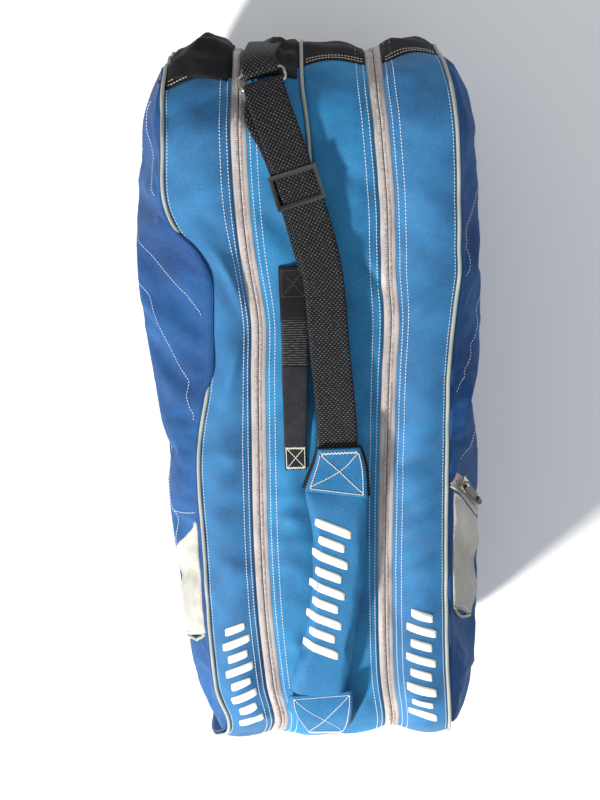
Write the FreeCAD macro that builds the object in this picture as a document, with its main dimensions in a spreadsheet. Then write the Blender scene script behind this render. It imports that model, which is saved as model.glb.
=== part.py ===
import FreeCAD, Part
import math
import os
import re
import Sketcher

# A racket bag lying on its base with both zips upward.
# +X across the bag, +Y along it towards the black end, +Z up; the origin is in the middle of the base.

SIZES = {
    # the bag's side profile: a rectangle with four round corners, seen along X
    "bag_length": 740,
    "bag_height": 280,
    "corner_radius": 90,
    # across the bag
    "seam_half_width": 134,
    "fabric": 3,
    "divider_thickness": 4,
    "panel_gap": 0.5,
    # side panels swell out from the seam
    "bulge_depth": 36,
    "bulge_margin": 60,
    "bulge_corner": 40,
    # piping in the seams
    "piping_width": 4,
    "piping_proud": 1.8,
    # zips, measured from the middle of each zip
    "zip_offset": 66,
    "zip_half_opening": 9,
    "coil_width": 1.8,
    "coil_gap": 0.8,
    "coil_proud": 0.9,
    "coil_thickness": 2.8,
    "tape_depth": 0.9,
    "tape_thickness": 1.2,
    "zip_end_height": 95,
    "stop_length": 4,
    "stop_proud": 1.2,
    "black_end": 55,
    # zip sliders
    "slider_length": 14,
    "slider_width": 14,
    "slider_wall": 1.4,
    "slider_post": 1,
    "slider_clearance": 0.7,
    "bail_width": 2.4,
    "bail_height": 3,
    "bail_length": 8,
    "pin_radius": 0.9,
    "pin_clearance": 0.2,
    "pull_width": 8,
    "pull_thickness": 1.6,
    "pull_length": 34,
    "knob_radius": 3.2,
    "knob_length": 13,
    # webbing, adjuster and ring
    "strap_width": 38,
    "webbing": 1.8,
    "layer_clearance": 1.4,
    "adjuster_bar": 3,
    "adjuster_bar_width": 5,
    "adjuster_length": 34,
    "adjuster_share": 0.63,
    "adjuster_rail": 4,
    "adjuster_clearance": 0.4,
    "adjuster_side_clearance": 1,
    "ring_wire": 1.6,
    "ring_side_clearance": 1.9,
    "ring_length": 16,
    "ring_corner": 5,
    "loop_clearance": 1.9,
    "anchor_narrowing": 4,
    "pad_width": 64,
    "pad_thickness": 10,
    "tab_thickness": 5,
    "tab_top_width": 42,
    "patch_thickness": 3,
    "handle_width": 28,
    "handle_thickness": 2.2,
    # grey inserts and the side pocket, placed along the bag from its tail
    "insert_thickness": 2,
    "insert_margin": 5,
    "insert_piping_width": 4,
    "insert_piping_proud": 1,
    "pocket_zip_from_tail": 304,
    "pocket_zip_drop": 46,
    "pocket_zip_length": 70,
    "pocket_tape_width": 16,
    "right_insert_from_tail": 166,
    "right_insert_slant": 30,
    "left_insert_start": 272,
    "left_insert_start_slant": 54,
    "left_insert_from_tail": 145,
    "left_insert_slant": 22,
    "lining_thickness": 1.2,
    "lining_length": 180,
    "lining_margin": 20,
}

doc = FreeCAD.newDocument("RacketBag")
sheet = doc.addObject("Spreadsheet::Sheet", "Sizes")
for row, (alias, value) in enumerate(SIZES.items(), start=1):
    sheet.set(f"A{row}", alias)
    sheet.set(f"B{row}", str(value))
    sheet.setAlias(f"B{row}", alias)
doc.recompute()

ORIGIN = FreeCAD.Vector(0, 0, 0)
X_AXIS = FreeCAD.Vector(1, 0, 0)
Y_AXIS = FreeCAD.Vector(0, 1, 0)
Z_AXIS = FreeCAD.Vector(0, 0, 1)
OUT_OF_SIGHT = "2 * bag_length"
SUB_PARTS = []


def cells(text):
    """The same formula with each size written as a cell of the sheet."""
    def cell(word):
        return "Sizes." + word.group(0) if word.group(0) in SIZES else word.group(0)

    return re.sub(r"[a-z_]{4,}", cell, text)


def number(text):
    """The value of a formula in the sheet's sizes, in millimetres."""
    return float(sheet.evalExpression(cells(str(text))))


def bind(item, name, text):
    item.setExpression(name, cells(str(text)))


def keep(item, label):
    """Marks an object as a sub-part of the bag."""
    item.Label = label
    SUB_PARTS.append(item)
    return item


def vector(x, y, z):
    return FreeCAD.Vector(number(x), number(y), number(z))


def frame_at(origin, x_direction, y_direction):
    """A placement from a point and the directions of the local X and Y axes."""
    x_unit = FreeCAD.Vector(x_direction).normalize()
    z_unit = x_unit.cross(FreeCAD.Vector(y_direction)).normalize()
    y_unit = z_unit.cross(x_unit)
    return FreeCAD.Placement(origin, FreeCAD.Rotation(x_unit, y_unit, z_unit, "ZXY"))


# ---------------------------------------------------------------- sketch helpers

def side_sketch(name, offset):
    """A sketch in a plane across X, with its own X along the bag and its own Y upward."""
    sketch = doc.addObject("Sketcher::SketchObject", name)
    sketch.Placement = FreeCAD.Placement(ORIGIN, FreeCAD.Rotation(Y_AXIS, Z_AXIS, X_AXIS, "ZXY"))
    bind(sketch, "Placement.Base.x", offset)
    return sketch


def body_sketch(body, role, name):
    plane = next(item for item in body.Origin.OriginFeatures if item.Role == role)
    sketch = body.newObject("Sketcher::SketchObject", name)
    sketch.AttachmentSupport = (plane, [""])
    sketch.MapMode = "FlatFace"
    return sketch


def dimension(sketch, constraint, text):
    index = sketch.addConstraint(constraint)
    name = f"size_{index}"
    sketch.renameConstraint(index, name)
    bind(sketch, "Constraints." + name, text)


def rounded_rectangle(sketch, low_x, high_x, low_y, high_y, radius):
    """Four straight sides and four tangent arcs, every size bound to the sheet."""
    x0, x1 = number(low_x), number(high_x)
    y0, y1 = number(low_y), number(high_y)
    round_by = number(radius)
    first = sketch.GeometryCount
    corners = [(x1 - round_by, y0 + round_by), (x1 - round_by, y1 - round_by),
               (x0 + round_by, y1 - round_by), (x0 + round_by, y0 + round_by)]
    sides = [((x0 + round_by, y0), (x1 - round_by, y0)), ((x1, y0 + round_by), (x1, y1 - round_by)),
             ((x1 - round_by, y1), (x0 + round_by, y1)), ((x0, y1 - round_by), (x0, y0 + round_by))]
    for turn, (side, corner) in enumerate(zip(sides, corners)):
        start, end = side
        sketch.addGeometry(Part.LineSegment(FreeCAD.Vector(*start, 0), FreeCAD.Vector(*end, 0)))
        circle = Part.Circle(FreeCAD.Vector(*corner, 0), Z_AXIS, round_by)
        start_angle = (turn - 1) * math.pi / 2
        sketch.addGeometry(Part.ArcOfCircle(circle, start_angle, start_angle + math.pi / 2))
    for index in range(8):
        sketch.addConstraint(Sketcher.Constraint("Tangent", first + index, 2, first + (index + 1) % 8, 1))
    for index in (0, 4):
        sketch.addConstraint(Sketcher.Constraint("Horizontal", first + index))
    for index in (2, 6):
        sketch.addConstraint(Sketcher.Constraint("Vertical", first + index))
    for index in (3, 5, 7):
        sketch.addConstraint(Sketcher.Constraint("Equal", first + 1, first + index))
    dimension(sketch, Sketcher.Constraint("Radius", first + 1, round_by), radius)
    dimension(sketch, Sketcher.Constraint("DistanceX", -1, 1, first + 6, 1, x0), low_x)
    dimension(sketch, Sketcher.Constraint("DistanceX", -1, 1, first + 2, 1, x1), high_x)
    dimension(sketch, Sketcher.Constraint("DistanceY", -1, 1, first, 1, y0), low_y)
    dimension(sketch, Sketcher.Constraint("DistanceY", -1, 1, first + 4, 1, y1), high_y)


def polygon(sketch, points):
    """A closed outline whose corners are each bound to the sheet."""
    places = [(number(x), number(y)) for x, y in points]
    count = len(points)
    for index, (x, y) in enumerate(places):
        next_x, next_y = places[(index + 1) % count]
        sketch.addGeometry(Part.LineSegment(FreeCAD.Vector(x, y, 0), FreeCAD.Vector(next_x, next_y, 0)))
    for index in range(count):
        sketch.addConstraint(Sketcher.Constraint("Coincident", index, 2, (index + 1) % count, 1))
    for index, (x, y) in enumerate(points):
        dimension(sketch, Sketcher.Constraint("DistanceX", -1, 1, index, 1, places[index][0]), x)
        dimension(sketch, Sketcher.Constraint("DistanceY", -1, 1, index, 1, places[index][1]), y)


def profile(sketch, inset):
    """The bag's side profile, a given depth inside the outer face."""
    rounded_rectangle(sketch, f"-bag_length / 2 + ({inset})", f"bag_length / 2 - ({inset})",
                      inset, f"bag_height - ({inset})", f"corner_radius - ({inset})")


# ---------------------------------------------------------------- solid helpers

def box(name, x_span, y_span, z_span):
    item = doc.addObject("Part::Box", name)
    for side, span, letter in (("Length", x_span, "x"), ("Width", y_span, "y"), ("Height", z_span, "z")):
        bind(item, side, f"({span[1]}) - ({span[0]})")
        bind(item, "Placement.Base." + letter, span[0])
    return item


def band(name, outer_inset, inner_inset):
    """A closed hoop that follows the side profile, as wide as the bag; strips are cut from it."""
    sketch = side_sketch(name + "_sketch", "-seam_half_width - bulge_depth")
    profile(sketch, outer_inset)
    if inner_inset is not None:
        profile(sketch, inner_inset)
    hoop = doc.addObject("Part::Extrusion", name)
    hoop.Base = sketch
    hoop.DirMode = "Normal"
    hoop.Solid = True
    bind(hoop, "LengthFwd", "2 * (seam_half_width + bulge_depth)")
    return hoop


def strip(label, hoop, x_span, y_span, z_span):
    """The part of a hoop inside a box."""
    piece = doc.addObject("Part::Common", label)
    piece.Base = hoop
    piece.Tool = box(label + "_span", x_span, y_span, z_span)
    return keep(piece, label)


def mirrored(source, label):
    """The same piece on the other side of the bag."""
    piece = doc.addObject("Part::Mirroring", label)
    piece.Source = source
    piece.Normal = X_AXIS
    return keep(piece, label)


def fused(label, solids, placement):
    piece = doc.addObject("Part::MultiFuse", label)
    piece.Shapes = solids
    piece.Placement = placement
    return keep(piece, label)


# ---------------------------------------------------------------- shell of the bag

ALL_ALONG = (f"-{OUT_OF_SIGHT}", OUT_OF_SIGHT)
ABOVE_ZIP_END = ("zip_end_height", OUT_OF_SIGHT)
BELOW_ZIP_END = ("-bag_height", "zip_end_height - panel_gap")
BLUE_PART = (f"-{OUT_OF_SIGHT}", "bag_length / 2 - black_end")
BLACK_PART = ("bag_length / 2 - black_end", OUT_OF_SIGHT)
BASE_EDGE = "seam_half_width + piping_width / 2 - panel_gap"
BASE_WIDTH = (f"-({BASE_EDGE})", BASE_EDGE)

fabric_band = band("fabric_band", "0", "fabric")
tape_band = band("tape_band", "tape_depth", "tape_depth + tape_thickness")
coil_band = band("coil_band", "-coil_proud", "coil_thickness - coil_proud")
piping_band = band("piping_band", "-piping_proud", "fabric")
stop_band = band("stop_band", "-stop_proud", "0")
divider_block = band("divider_block", "fabric", None)

strip("centre_divider", divider_block, ("-divider_thickness / 2", "divider_thickness / 2"),
      ALL_ALONG, ("-bag_height", OUT_OF_SIGHT))
strip("base_panel", fabric_band, BASE_WIDTH,
      ("-bag_length / 2 + corner_radius", "bag_length / 2 - corner_radius"), BELOW_ZIP_END)
strip("tail_base_corner", fabric_band, BASE_WIDTH,
      (f"-{OUT_OF_SIGHT}", "-bag_length / 2 + corner_radius"), BELOW_ZIP_END)
strip("head_base_corner", fabric_band, BASE_WIDTH,
      ("bag_length / 2 - corner_radius", OUT_OF_SIGHT), BELOW_ZIP_END)
strip("black_end_panel", fabric_band,
      ("-zip_offset + zip_half_opening", "zip_offset - zip_half_opening"), BLACK_PART, ABOVE_ZIP_END)
strip("centre_piping", piping_band, ("-piping_width / 2", "piping_width / 2"), BLUE_PART, ABOVE_ZIP_END)

INNER_FABRIC = ("-zip_offset + zip_half_opening", "-piping_width / 2")
OUTER_FABRIC = ("-seam_half_width + piping_width / 2", "-zip_offset - zip_half_opening")
INNER_TAPE = ("-zip_offset + coil_gap + coil_width", "-zip_offset + zip_half_opening")
OUTER_TAPE = ("-zip_offset - zip_half_opening", "-zip_offset - coil_gap - coil_width")
INNER_COIL = ("-zip_offset + coil_gap", "-zip_offset + coil_gap + coil_width")
OUTER_COIL = ("-zip_offset - coil_gap - coil_width", "-zip_offset - coil_gap")
SEAM_PIPING = ("-seam_half_width - piping_width / 2", "-seam_half_width + piping_width / 2")
ZIP_STOPS = ("-zip_offset - slider_width / 4", "-zip_offset + slider_width / 4")
STOP_HEIGHT = ("zip_end_height - panel_gap - stop_length", "zip_end_height - panel_gap")

LEFT_STRIPS = [
    ("inner_gusset", fabric_band, INNER_FABRIC, BLUE_PART, ABOVE_ZIP_END),
    ("outer_gusset", fabric_band, OUTER_FABRIC, BLUE_PART, ABOVE_ZIP_END),
    ("black_end_strip", fabric_band, OUTER_FABRIC, BLACK_PART, ABOVE_ZIP_END),
    ("inner_zip_tape", tape_band, INNER_TAPE, ALL_ALONG, ABOVE_ZIP_END),
    ("outer_zip_tape", tape_band, OUTER_TAPE, ALL_ALONG, ABOVE_ZIP_END),
    ("inner_zip_coil", coil_band, INNER_COIL, ALL_ALONG, ABOVE_ZIP_END),
    ("outer_zip_coil", coil_band, OUTER_COIL, ALL_ALONG, ABOVE_ZIP_END),
    ("seam_piping", piping_band, SEAM_PIPING, ALL_ALONG, ABOVE_ZIP_END),
    ("zip_stops", stop_band, ZIP_STOPS, ALL_ALONG, STOP_HEIGHT),
]
for name, hoop, x_span, y_span, z_span in LEFT_STRIPS:
    left_piece = strip("left_" + name, hoop, x_span, y_span, z_span)
    mirrored(left_piece, "right_" + name)


def dish(name, wall):
    """A solid tray shape from the seam out to the flat of the bulge, a wall's depth inside it."""
    rim = side_sketch(name + "_rim", "-seam_half_width - piping_width / 2")
    profile(rim, wall)
    flat = side_sketch(name + "_flat", f"-seam_half_width - piping_width / 2 - bulge_depth + {wall}")
    rounded_rectangle(flat, "-bag_length / 2 + bulge_margin", "bag_length / 2 - bulge_margin",
                      "bulge_margin", "bag_height - bulge_margin", "bulge_corner")
    tray = doc.addObject("Part::Loft", name)
    tray.Sections = [rim, flat]
    tray.Solid = True
    tray.Ruled = True
    return tray


left_side = doc.addObject("Part::Cut", "left_side_panel")
left_side.Base = dish("panel_outside", "0")
left_side.Tool = dish("panel_inside", "fabric")
keep(left_side, "left_side_panel")
mirrored(left_side, "right_side_panel")


# ---------------------------------------------------------------- zip sliders and pulls

# heights above the middle of the tape
SLIDER_ROOM = "tape_depth + tape_thickness / 2 + coil_proud + slider_clearance"
SLIDER_TOP = f"{SLIDER_ROOM} + slider_wall"
PULL_HEIGHT = f"{SLIDER_TOP} + bail_height / 2"


def slider(label, placement, lower_plate):
    """Local X across the zip, local Y towards its closed end, local Z outward from the tape's middle."""
    body = doc.addObject("PartDesign::Body", label)
    outline = body_sketch(body, "XZ_Plane", label + "_section")
    half = "slider_width / 2"
    top = SLIDER_ROOM
    roof = SLIDER_TOP
    if lower_plate:
        floor_top = "-tape_thickness / 2 - 2 * slider_clearance + 0.1"
        floor = f"{floor_top} - slider_wall"
        polygon(outline, [(f"-{half}", floor), (half, floor), (half, floor_top), ("slider_post / 2", floor_top),
                          ("slider_post / 2", top), (half, top), (half, roof), (f"-{half}", roof),
                          (f"-{half}", top), ("-slider_post / 2", top), ("-slider_post / 2", floor_top),
                          (f"-{half}", floor_top)])
    else:
        skirt = "tape_thickness / 2 + slider_clearance / 2"
        wall = f"({half} - slider_wall)"
        polygon(outline, [(f"-{half}", skirt), (f"-{wall}", skirt), (f"-{wall}", top), (wall, top),
                          (wall, skirt), (half, skirt), (half, roof), (f"-{half}", roof)])
    pad = body.newObject("PartDesign::Pad", label + "_pad")
    pad.Profile = outline
    pad.SideType = "Symmetric"
    bind(pad, "Length", "slider_length")
    outline.Visibility = False
    doc.recompute()
    bail = body_sketch(body, "YZ_Plane", label + "_bail_outline")
    rounded_rectangle(bail, "-bail_length / 2", "bail_length / 2", roof + " - slider_wall / 2",
                      f"{roof} + bail_height", "bail_height / 4")
    ring = body.newObject("PartDesign::Pad", label + "_bail")
    ring.Profile = bail
    ring.SideType = "Symmetric"
    bind(ring, "Length", "bail_width")
    doc.recompute()
    hole = body_sketch(body, "YZ_Plane", label + "_pin_hole")
    hole.addGeometry(Part.Circle(FreeCAD.Vector(0, number(f"{roof} + bail_height / 2"), 0), Z_AXIS, 1))
    dimension(hole, Sketcher.Constraint("Radius", 0, 1), "pin_radius + pin_clearance")
    dimension(hole, Sketcher.Constraint("DistanceX", -1, 1, 0, 3, 0), "0")
    dimension(hole, Sketcher.Constraint("DistanceY", -1, 1, 0, 3, 1), f"{roof} + bail_height / 2")
    cut = body.newObject("PartDesign::Pocket", label + "_pin_cut")
    cut.Profile = hole
    cut.SideType = "Symmetric"
    bind(cut, "Length", "2 * bail_width")
    body.Placement = placement
    return keep(body, label)


def pull(label, placement):
    """A pin through the slider's bail, two arms and a flat tab, all lying along local -Y."""
    height = PULL_HEIGHT
    arm_in = "bail_width / 2 + slider_clearance / 2"
    arm_out = "pull_width / 2"
    arm_end = "(bail_length / 2 + slider_clearance)"
    spread = (f"{height} - pull_thickness / 2", f"{height} + pull_thickness / 2")
    pin = doc.addObject("Part::Cylinder", label + "_pin")
    bind(pin, "Radius", "pin_radius")
    bind(pin, "Height", "pull_width")
    pin.Placement.Rotation = FreeCAD.Rotation(Y_AXIS, 90)
    bind(pin, "Placement.Base.x", "-pull_width / 2")
    bind(pin, "Placement.Base.z", height)
    arms = [box(f"{label}_arm_{side}", span, (f"-{arm_end} - 2", "pin_radius"), spread)
            for side, span in (("a", (f"-{arm_out}", f"-({arm_in})")), ("b", (arm_in, arm_out)))]
    tab = box(label + "_tab", (f"-{arm_out}", arm_out), ("-pull_length", f"-{arm_end}"), spread)
    return fused(label, [pin, tab] + arms, placement)


SLIDER_REST_HEIGHT = "zip_end_height + slider_length / 2 + 6"
TAPE_MIDDLE = "bag_length / 2 - tape_depth - tape_thickness / 2"
for side, sign in (("left", "-"), ("right", "")):
    origin = vector(f"{sign}zip_offset", f"-({TAPE_MIDDLE})", SLIDER_REST_HEIGHT)
    seat = frame_at(origin, X_AXIS, Z_AXIS)
    slider(side + "_zip_slider", seat, True)
    pull(side + "_zip_pull", seat)


# ---------------------------------------------------------------- grey inserts and side pocket

SLOPE_ANGLE = math.degrees(math.atan2(number("bulge_margin"), number("bulge_depth")))
SLOPE_LENGTH = "sqrt(bulge_margin ^ 2 + bulge_depth ^ 2)"
right_slope = FreeCAD.Placement(vector("seam_half_width + piping_width / 2", "0", "bag_height"),
                                FreeCAD.Rotation(Y_AXIS, SLOPE_ANGLE))
left_slope = FreeCAD.Placement(vector("-seam_half_width - piping_width / 2", "0", "bag_height"),
                               FreeCAD.Rotation(Z_AXIS, 180) * FreeCAD.Rotation(Y_AXIS, SLOPE_ANGLE))

INSERT_EDGE_GAP = "pocket_tape_width / 2 + panel_gap"
TAIL = "-bag_length / 2"
far_edge = f"{SLOPE_LENGTH} - insert_margin"


def plate(label, points, thickness, placement):
    body = doc.addObject("PartDesign::Body", label)
    outline = body_sketch(body, "XY_Plane", label + "_outline")
    polygon(outline, points)
    pad = body.newObject("PartDesign::Pad", label + "_pad")
    pad.Profile = outline
    bind(pad, "Length", thickness)
    body.Placement = placement
    return keep(body, label)


zip_run = number(far_edge) - number("insert_margin")
zip_drop = number("pocket_zip_drop")
edge_shift = number(INSERT_EDGE_GAP) * math.hypot(zip_run, zip_drop) / zip_run
seam_edge = "insert_margin"


def insert_and_piping(side, start, start_slant, end, end_slant, placement):
    """A grey insert on the slope of a side panel, with piping along its edge towards the tail."""
    # the left slope's own Y runs towards the tail, the right one's towards the black end
    sign = "" if side == "right" else "-"
    corners = [(seam_edge, f"{sign}({start})"), (seam_edge, f"{sign}({end})"),
               (far_edge, f"{sign}({end} - {end_slant})"), (far_edge, f"{sign}({start} - {start_slant})")]
    plate(side + "_insert", corners, "insert_thickness", placement)
    piping_start = f"{end} - panel_gap"
    piping_end = f"{piping_start} - insert_piping_width"
    edge = [(seam_edge, f"{sign}({piping_start})"), (seam_edge, f"{sign}({piping_end})"),
            (far_edge, f"{sign}({piping_end} - {end_slant})"),
            (far_edge, f"{sign}({piping_start} - {end_slant})")]
    plate(side + "_insert_piping", edge, "insert_thickness + insert_piping_proud", placement)


insert_and_piping("right", f"{TAIL} + pocket_zip_from_tail - {edge_shift}", "pocket_zip_drop",
                  f"{TAIL} + right_insert_from_tail", "right_insert_slant", right_slope)
insert_and_piping("left", f"{TAIL} + left_insert_start", "left_insert_start_slant",
                  f"{TAIL} + left_insert_from_tail", "left_insert_slant", left_slope)

zip_start = vector(seam_edge, f"{TAIL} + pocket_zip_from_tail", "0")
zip_direction = FreeCAD.Vector(zip_run, -zip_drop, 0).normalize()
# local Y runs up to the seam, which is the pocket zip's closed end
zip_seat = right_slope.multiply(frame_at(zip_start, zip_direction.cross(Z_AXIS) * -1, zip_direction * -1))
plate("pocket_zip_tape", [("-pocket_tape_width / 2", "0"), ("pocket_tape_width / 2", "0"),
                          ("pocket_tape_width / 2", "-pocket_zip_length"),
                          ("-pocket_tape_width / 2", "-pocket_zip_length")], "tape_thickness", zip_seat)
coil_rise = FreeCAD.Placement(vector("0", "0", "tape_thickness"), FreeCAD.Rotation())
plate("pocket_zip_coil", [("-coil_width", "0"), ("coil_width", "0"),
                          ("coil_width", "-pocket_zip_length"), ("-coil_width", "-pocket_zip_length")],
      "coil_proud + tape_depth", zip_seat.multiply(coil_rise))
slider_seat = zip_seat.multiply(FreeCAD.Placement(vector("0", "-slider_length / 2 - 2", "tape_thickness / 2"),
                                                  FreeCAD.Rotation()))
slider("pocket_slider", slider_seat, False)
pull("pocket_pull", slider_seat)

knob = doc.addObject("PartDesign::Body", "pocket_pull_knob")
knob_outline = body_sketch(knob, "XY_Plane", "knob_outline")
polygon(knob_outline, [("0", "0"), ("knob_radius * 0.7", "0"), ("knob_radius", "-knob_radius / 2"),
                       ("knob_radius", "-knob_length + knob_radius / 2"), ("knob_radius * 0.7", "-knob_length"),
                       ("0", "-knob_length")])
knob_turn = knob.newObject("PartDesign::Revolution", "knob_turn")
knob_turn.Profile = knob_outline
knob_turn.ReferenceAxis = (knob_outline, ["V_Axis"])
knob_turn.Angle = 360
knob_seat = FreeCAD.Placement(vector("0", "-pull_length", PULL_HEIGHT), FreeCAD.Rotation())
knob.Placement = slider_seat.multiply(knob_seat)
keep(knob, "pocket_pull_knob")

flat_inside = "seam_half_width + piping_width / 2 + bulge_depth - fabric"
lining_start = f"{TAIL} + bulge_margin + bulge_corner - lining_margin / 2"
keep(box("pocket_lining", (f"{flat_inside} - lining_thickness", flat_inside),
         (lining_start, f"{lining_start} + lining_length"),
         ("bulge_margin + lining_margin", "bag_height - bulge_margin - lining_margin")), "pocket_lining")


# ---------------------------------------------------------------- straps

def gusset_top(along):
    """Height of the bag's top at a distance along it, round corners included."""
    straight = number("bag_length / 2 - corner_radius")
    radius = number("corner_radius")
    beyond = max(0.0, abs(along) - straight)
    return number("bag_height - corner_radius") + math.sqrt(radius * radius - beyond * beyond)


def above_top(x, along, lift):
    return FreeCAD.Vector(x, along, gusset_top(along) + lift)


def over_corner(x, degrees_down, lift, end_sign):
    """A point over a round end of the bag, measured as an angle from the top."""
    reach = number("corner_radius") + lift
    turn = math.radians(degrees_down)
    along = number("bag_length / 2 - corner_radius") + reach * math.sin(turn)
    return FreeCAD.Vector(x, end_sign * along, number("bag_height - corner_radius") + reach * math.cos(turn))


def section(centre, tangent, across, width, thickness):
    normal = FreeCAD.Vector(tangent).cross(across).normalize()
    half_width = FreeCAD.Vector(across).normalize() * (width / 2)
    half_depth = normal * (thickness / 2)
    corners = [centre - half_width - half_depth, centre + half_width - half_depth,
               centre + half_width + half_depth, centre - half_width + half_depth]
    return Part.makePolygon(corners + corners[:1])


def ribbon(label, points, across, widths, thickness):
    """A flat strap through a list of middle points; its width lies along the matching across vectors."""
    sections = []
    last = len(points) - 1
    for index, point in enumerate(points):
        before = points[max(index - 1, 0)]
        after = points[min(index + 1, last)]
        sections.append(section(point, after - before, across[index], widths[index], thickness))
    piece = doc.addObject("Part::Feature", label)
    piece.Shape = Part.makeLoft(sections, True, True)
    return keep(piece, label)


def sideways(direction):
    """Level direction across a strap that runs in the given direction."""
    return FreeCAD.Vector(direction.y, -direction.x, 0).normalize()


half_length = number("bag_length / 2")
strap_width = number("strap_width")
webbing = number("webbing")

# long webbing, from the padded strap to the ring
strap_start = above_top(15, -58, 18)
strap_rise = above_top(14, 5, 21)
strap_crest = above_top(9, 77, 22)
adjuster_low = above_top(3, 158, 20)
adjuster_high = above_top(-31, half_length - 90, 12.4)
strap_fall = above_top(-41, half_length - 64, 12)
near_bar = above_top(-number("zip_offset") + 19, half_length - 37, 11)
ring_direction = (near_bar - strap_fall).normalize()
ring_across = sideways(ring_direction)
ring_normal = ring_across.cross(ring_direction).normalize()
far_bar = near_bar + ring_direction * number("ring_length")
loop_radius = number("ring_wire + loop_clearance + webbing / 2")


def half_loop(centre, along, normal, steps):
    """Points round a bar from above it to below it, passing on the side that along points to."""
    turns = [math.pi * step / steps for step in range(steps + 1)]
    return [centre + (along * math.sin(turn) + normal * math.cos(turn)) * loop_radius for turn in turns]


layer_drop = FreeCAD.Vector(0, 0, -number("webbing + adjuster_clearance + adjuster_bar + layer_clearance"))
round_bar = half_loop(near_bar, ring_direction, ring_normal, 6)
before_bar = near_bar - ring_direction * 9 + ring_normal * loop_radius
after_bar = near_bar - ring_direction * 9 - ring_normal * loop_radius
upper_layer = [strap_start, strap_rise, strap_crest, adjuster_low, adjuster_high, before_bar]
lower_layer = [after_bar, strap_fall + layer_drop, adjuster_high + layer_drop, adjuster_low + layer_drop]
strap_points = upper_layer + round_bar + lower_layer
adjuster_direction = (adjuster_high - adjuster_low).normalize()
adjuster_across = sideways(adjuster_direction)
crest_across = sideways(adjuster_low - strap_rise)
strap_across = [X_AXIS, X_AXIS, crest_across, adjuster_across, adjuster_across, ring_across]
strap_across += [ring_across] * (len(round_bar) + 2) + [adjuster_across, adjuster_across]
ribbon("shoulder_webbing", strap_points, strap_across, [strap_width] * len(strap_points), webbing)

# anchor loop, sewn to the black end between the zips and passed through the ring
anchor_width = number("strap_width - anchor_narrowing")
anchor_x = number("-zip_offset + zip_half_opening") + anchor_width / 2 + 2
lower_leg = [over_corner(anchor_x, 74, 1.5, 1), over_corner(anchor_x - 3, 62, 5, 1)]
upper_leg = [over_corner(anchor_x - 3, 62, 13, 1), over_corner(anchor_x, 74, 4.5, 1)]
around = half_loop(far_bar, ring_direction * -1, ring_normal * -1, 6)
anchor_points = lower_leg + around + upper_leg
anchor_across = [X_AXIS, X_AXIS + ring_across] + [ring_across] * len(around) + [X_AXIS + ring_across, X_AXIS]
ribbon("strap_anchor_loop", anchor_points, anchor_across, [anchor_width] * len(anchor_points), webbing)

# padded strap with its upper tab and lower patch
pad_width = number("pad_width")
pad_top = above_top(13, -112, 18)
tab_start = above_top(15, -60, 18)
tab_end = above_top(13, -111, 18)
ribbon("strap_tab", [tab_start, tab_end], [X_AXIS, X_AXIS], [number("tab_top_width"), pad_width],
       number("tab_thickness"))
pad_end = over_corner(-20, 33, 9, -1)
pad_points = [pad_top, above_top(10, -165, 20), above_top(0, -225, 18),
              above_top(-11, 80 - half_length, 14), pad_end]
ribbon("padded_strap", pad_points, [X_AXIS] * 5, [pad_width] * 5, number("pad_thickness"))
patch_points = [over_corner(x, turn, 5, -1) for x, turn in ((-20, 35), (-22, 44), (-25, 55), (-27, 66))]
patch_widths = [pad_width, pad_width - 4, pad_width - 12, pad_width - 20]
ribbon("strap_patch", patch_points, [X_AXIS] * 4, patch_widths, number("patch_thickness"))

# grab handle, a short webbing bridge beside the centre seam
handle_middle = (-21, -21, -20, -19, -18, -18, -18, -18)
handle_along = (129, 103, 75, 42, 5, -30, -58, -85)
handle_lift = (1.3, 1.5, 8, 12, 12, 8, 1.5, 1.3)
handle_points = [above_top(*place) for place in zip(handle_middle, handle_along, handle_lift)]
ribbon("grab_handle", handle_points, [X_AXIS] * 8, [number("handle_width")] * 8, number("handle_thickness"))

# adjuster: two rails, two outer bars above the webbing and one middle bar below it
bar_low = "webbing / 2 + adjuster_clearance"
bar_high = f"{bar_low} + adjuster_bar"
rail_in = "strap_width / 2 + adjuster_side_clearance"
rail_out = f"{rail_in} + adjuster_rail"
rail_length = ("-adjuster_length / 2", "adjuster_length / 2")
bar_across = (f"-({rail_out})", rail_out)
above_webbing = (bar_low, bar_high)
adjuster_solids = [
    box("adjuster_left_rail", (f"-({rail_out})", f"-({rail_in})"), rail_length, (f"-({bar_high})", bar_high)),
    box("adjuster_right_rail", (rail_in, rail_out), rail_length, (f"-({bar_high})", bar_high)),
    box("adjuster_near_bar", bar_across, ("-adjuster_length / 2", "adjuster_bar_width - adjuster_length / 2"),
        above_webbing),
    box("adjuster_far_bar", bar_across, ("adjuster_length / 2 - adjuster_bar_width", "adjuster_length / 2"),
        above_webbing),
    box("adjuster_middle_bar", bar_across, ("-adjuster_bar_width / 2", "adjuster_bar_width / 2"),
        (f"-({bar_high})", f"-({bar_low})")),
]
adjuster_middle = adjuster_low + (adjuster_high - adjuster_low) * number("adjuster_share")
fused("strap_adjuster", adjuster_solids, frame_at(adjuster_middle, adjuster_across, adjuster_direction))

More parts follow.
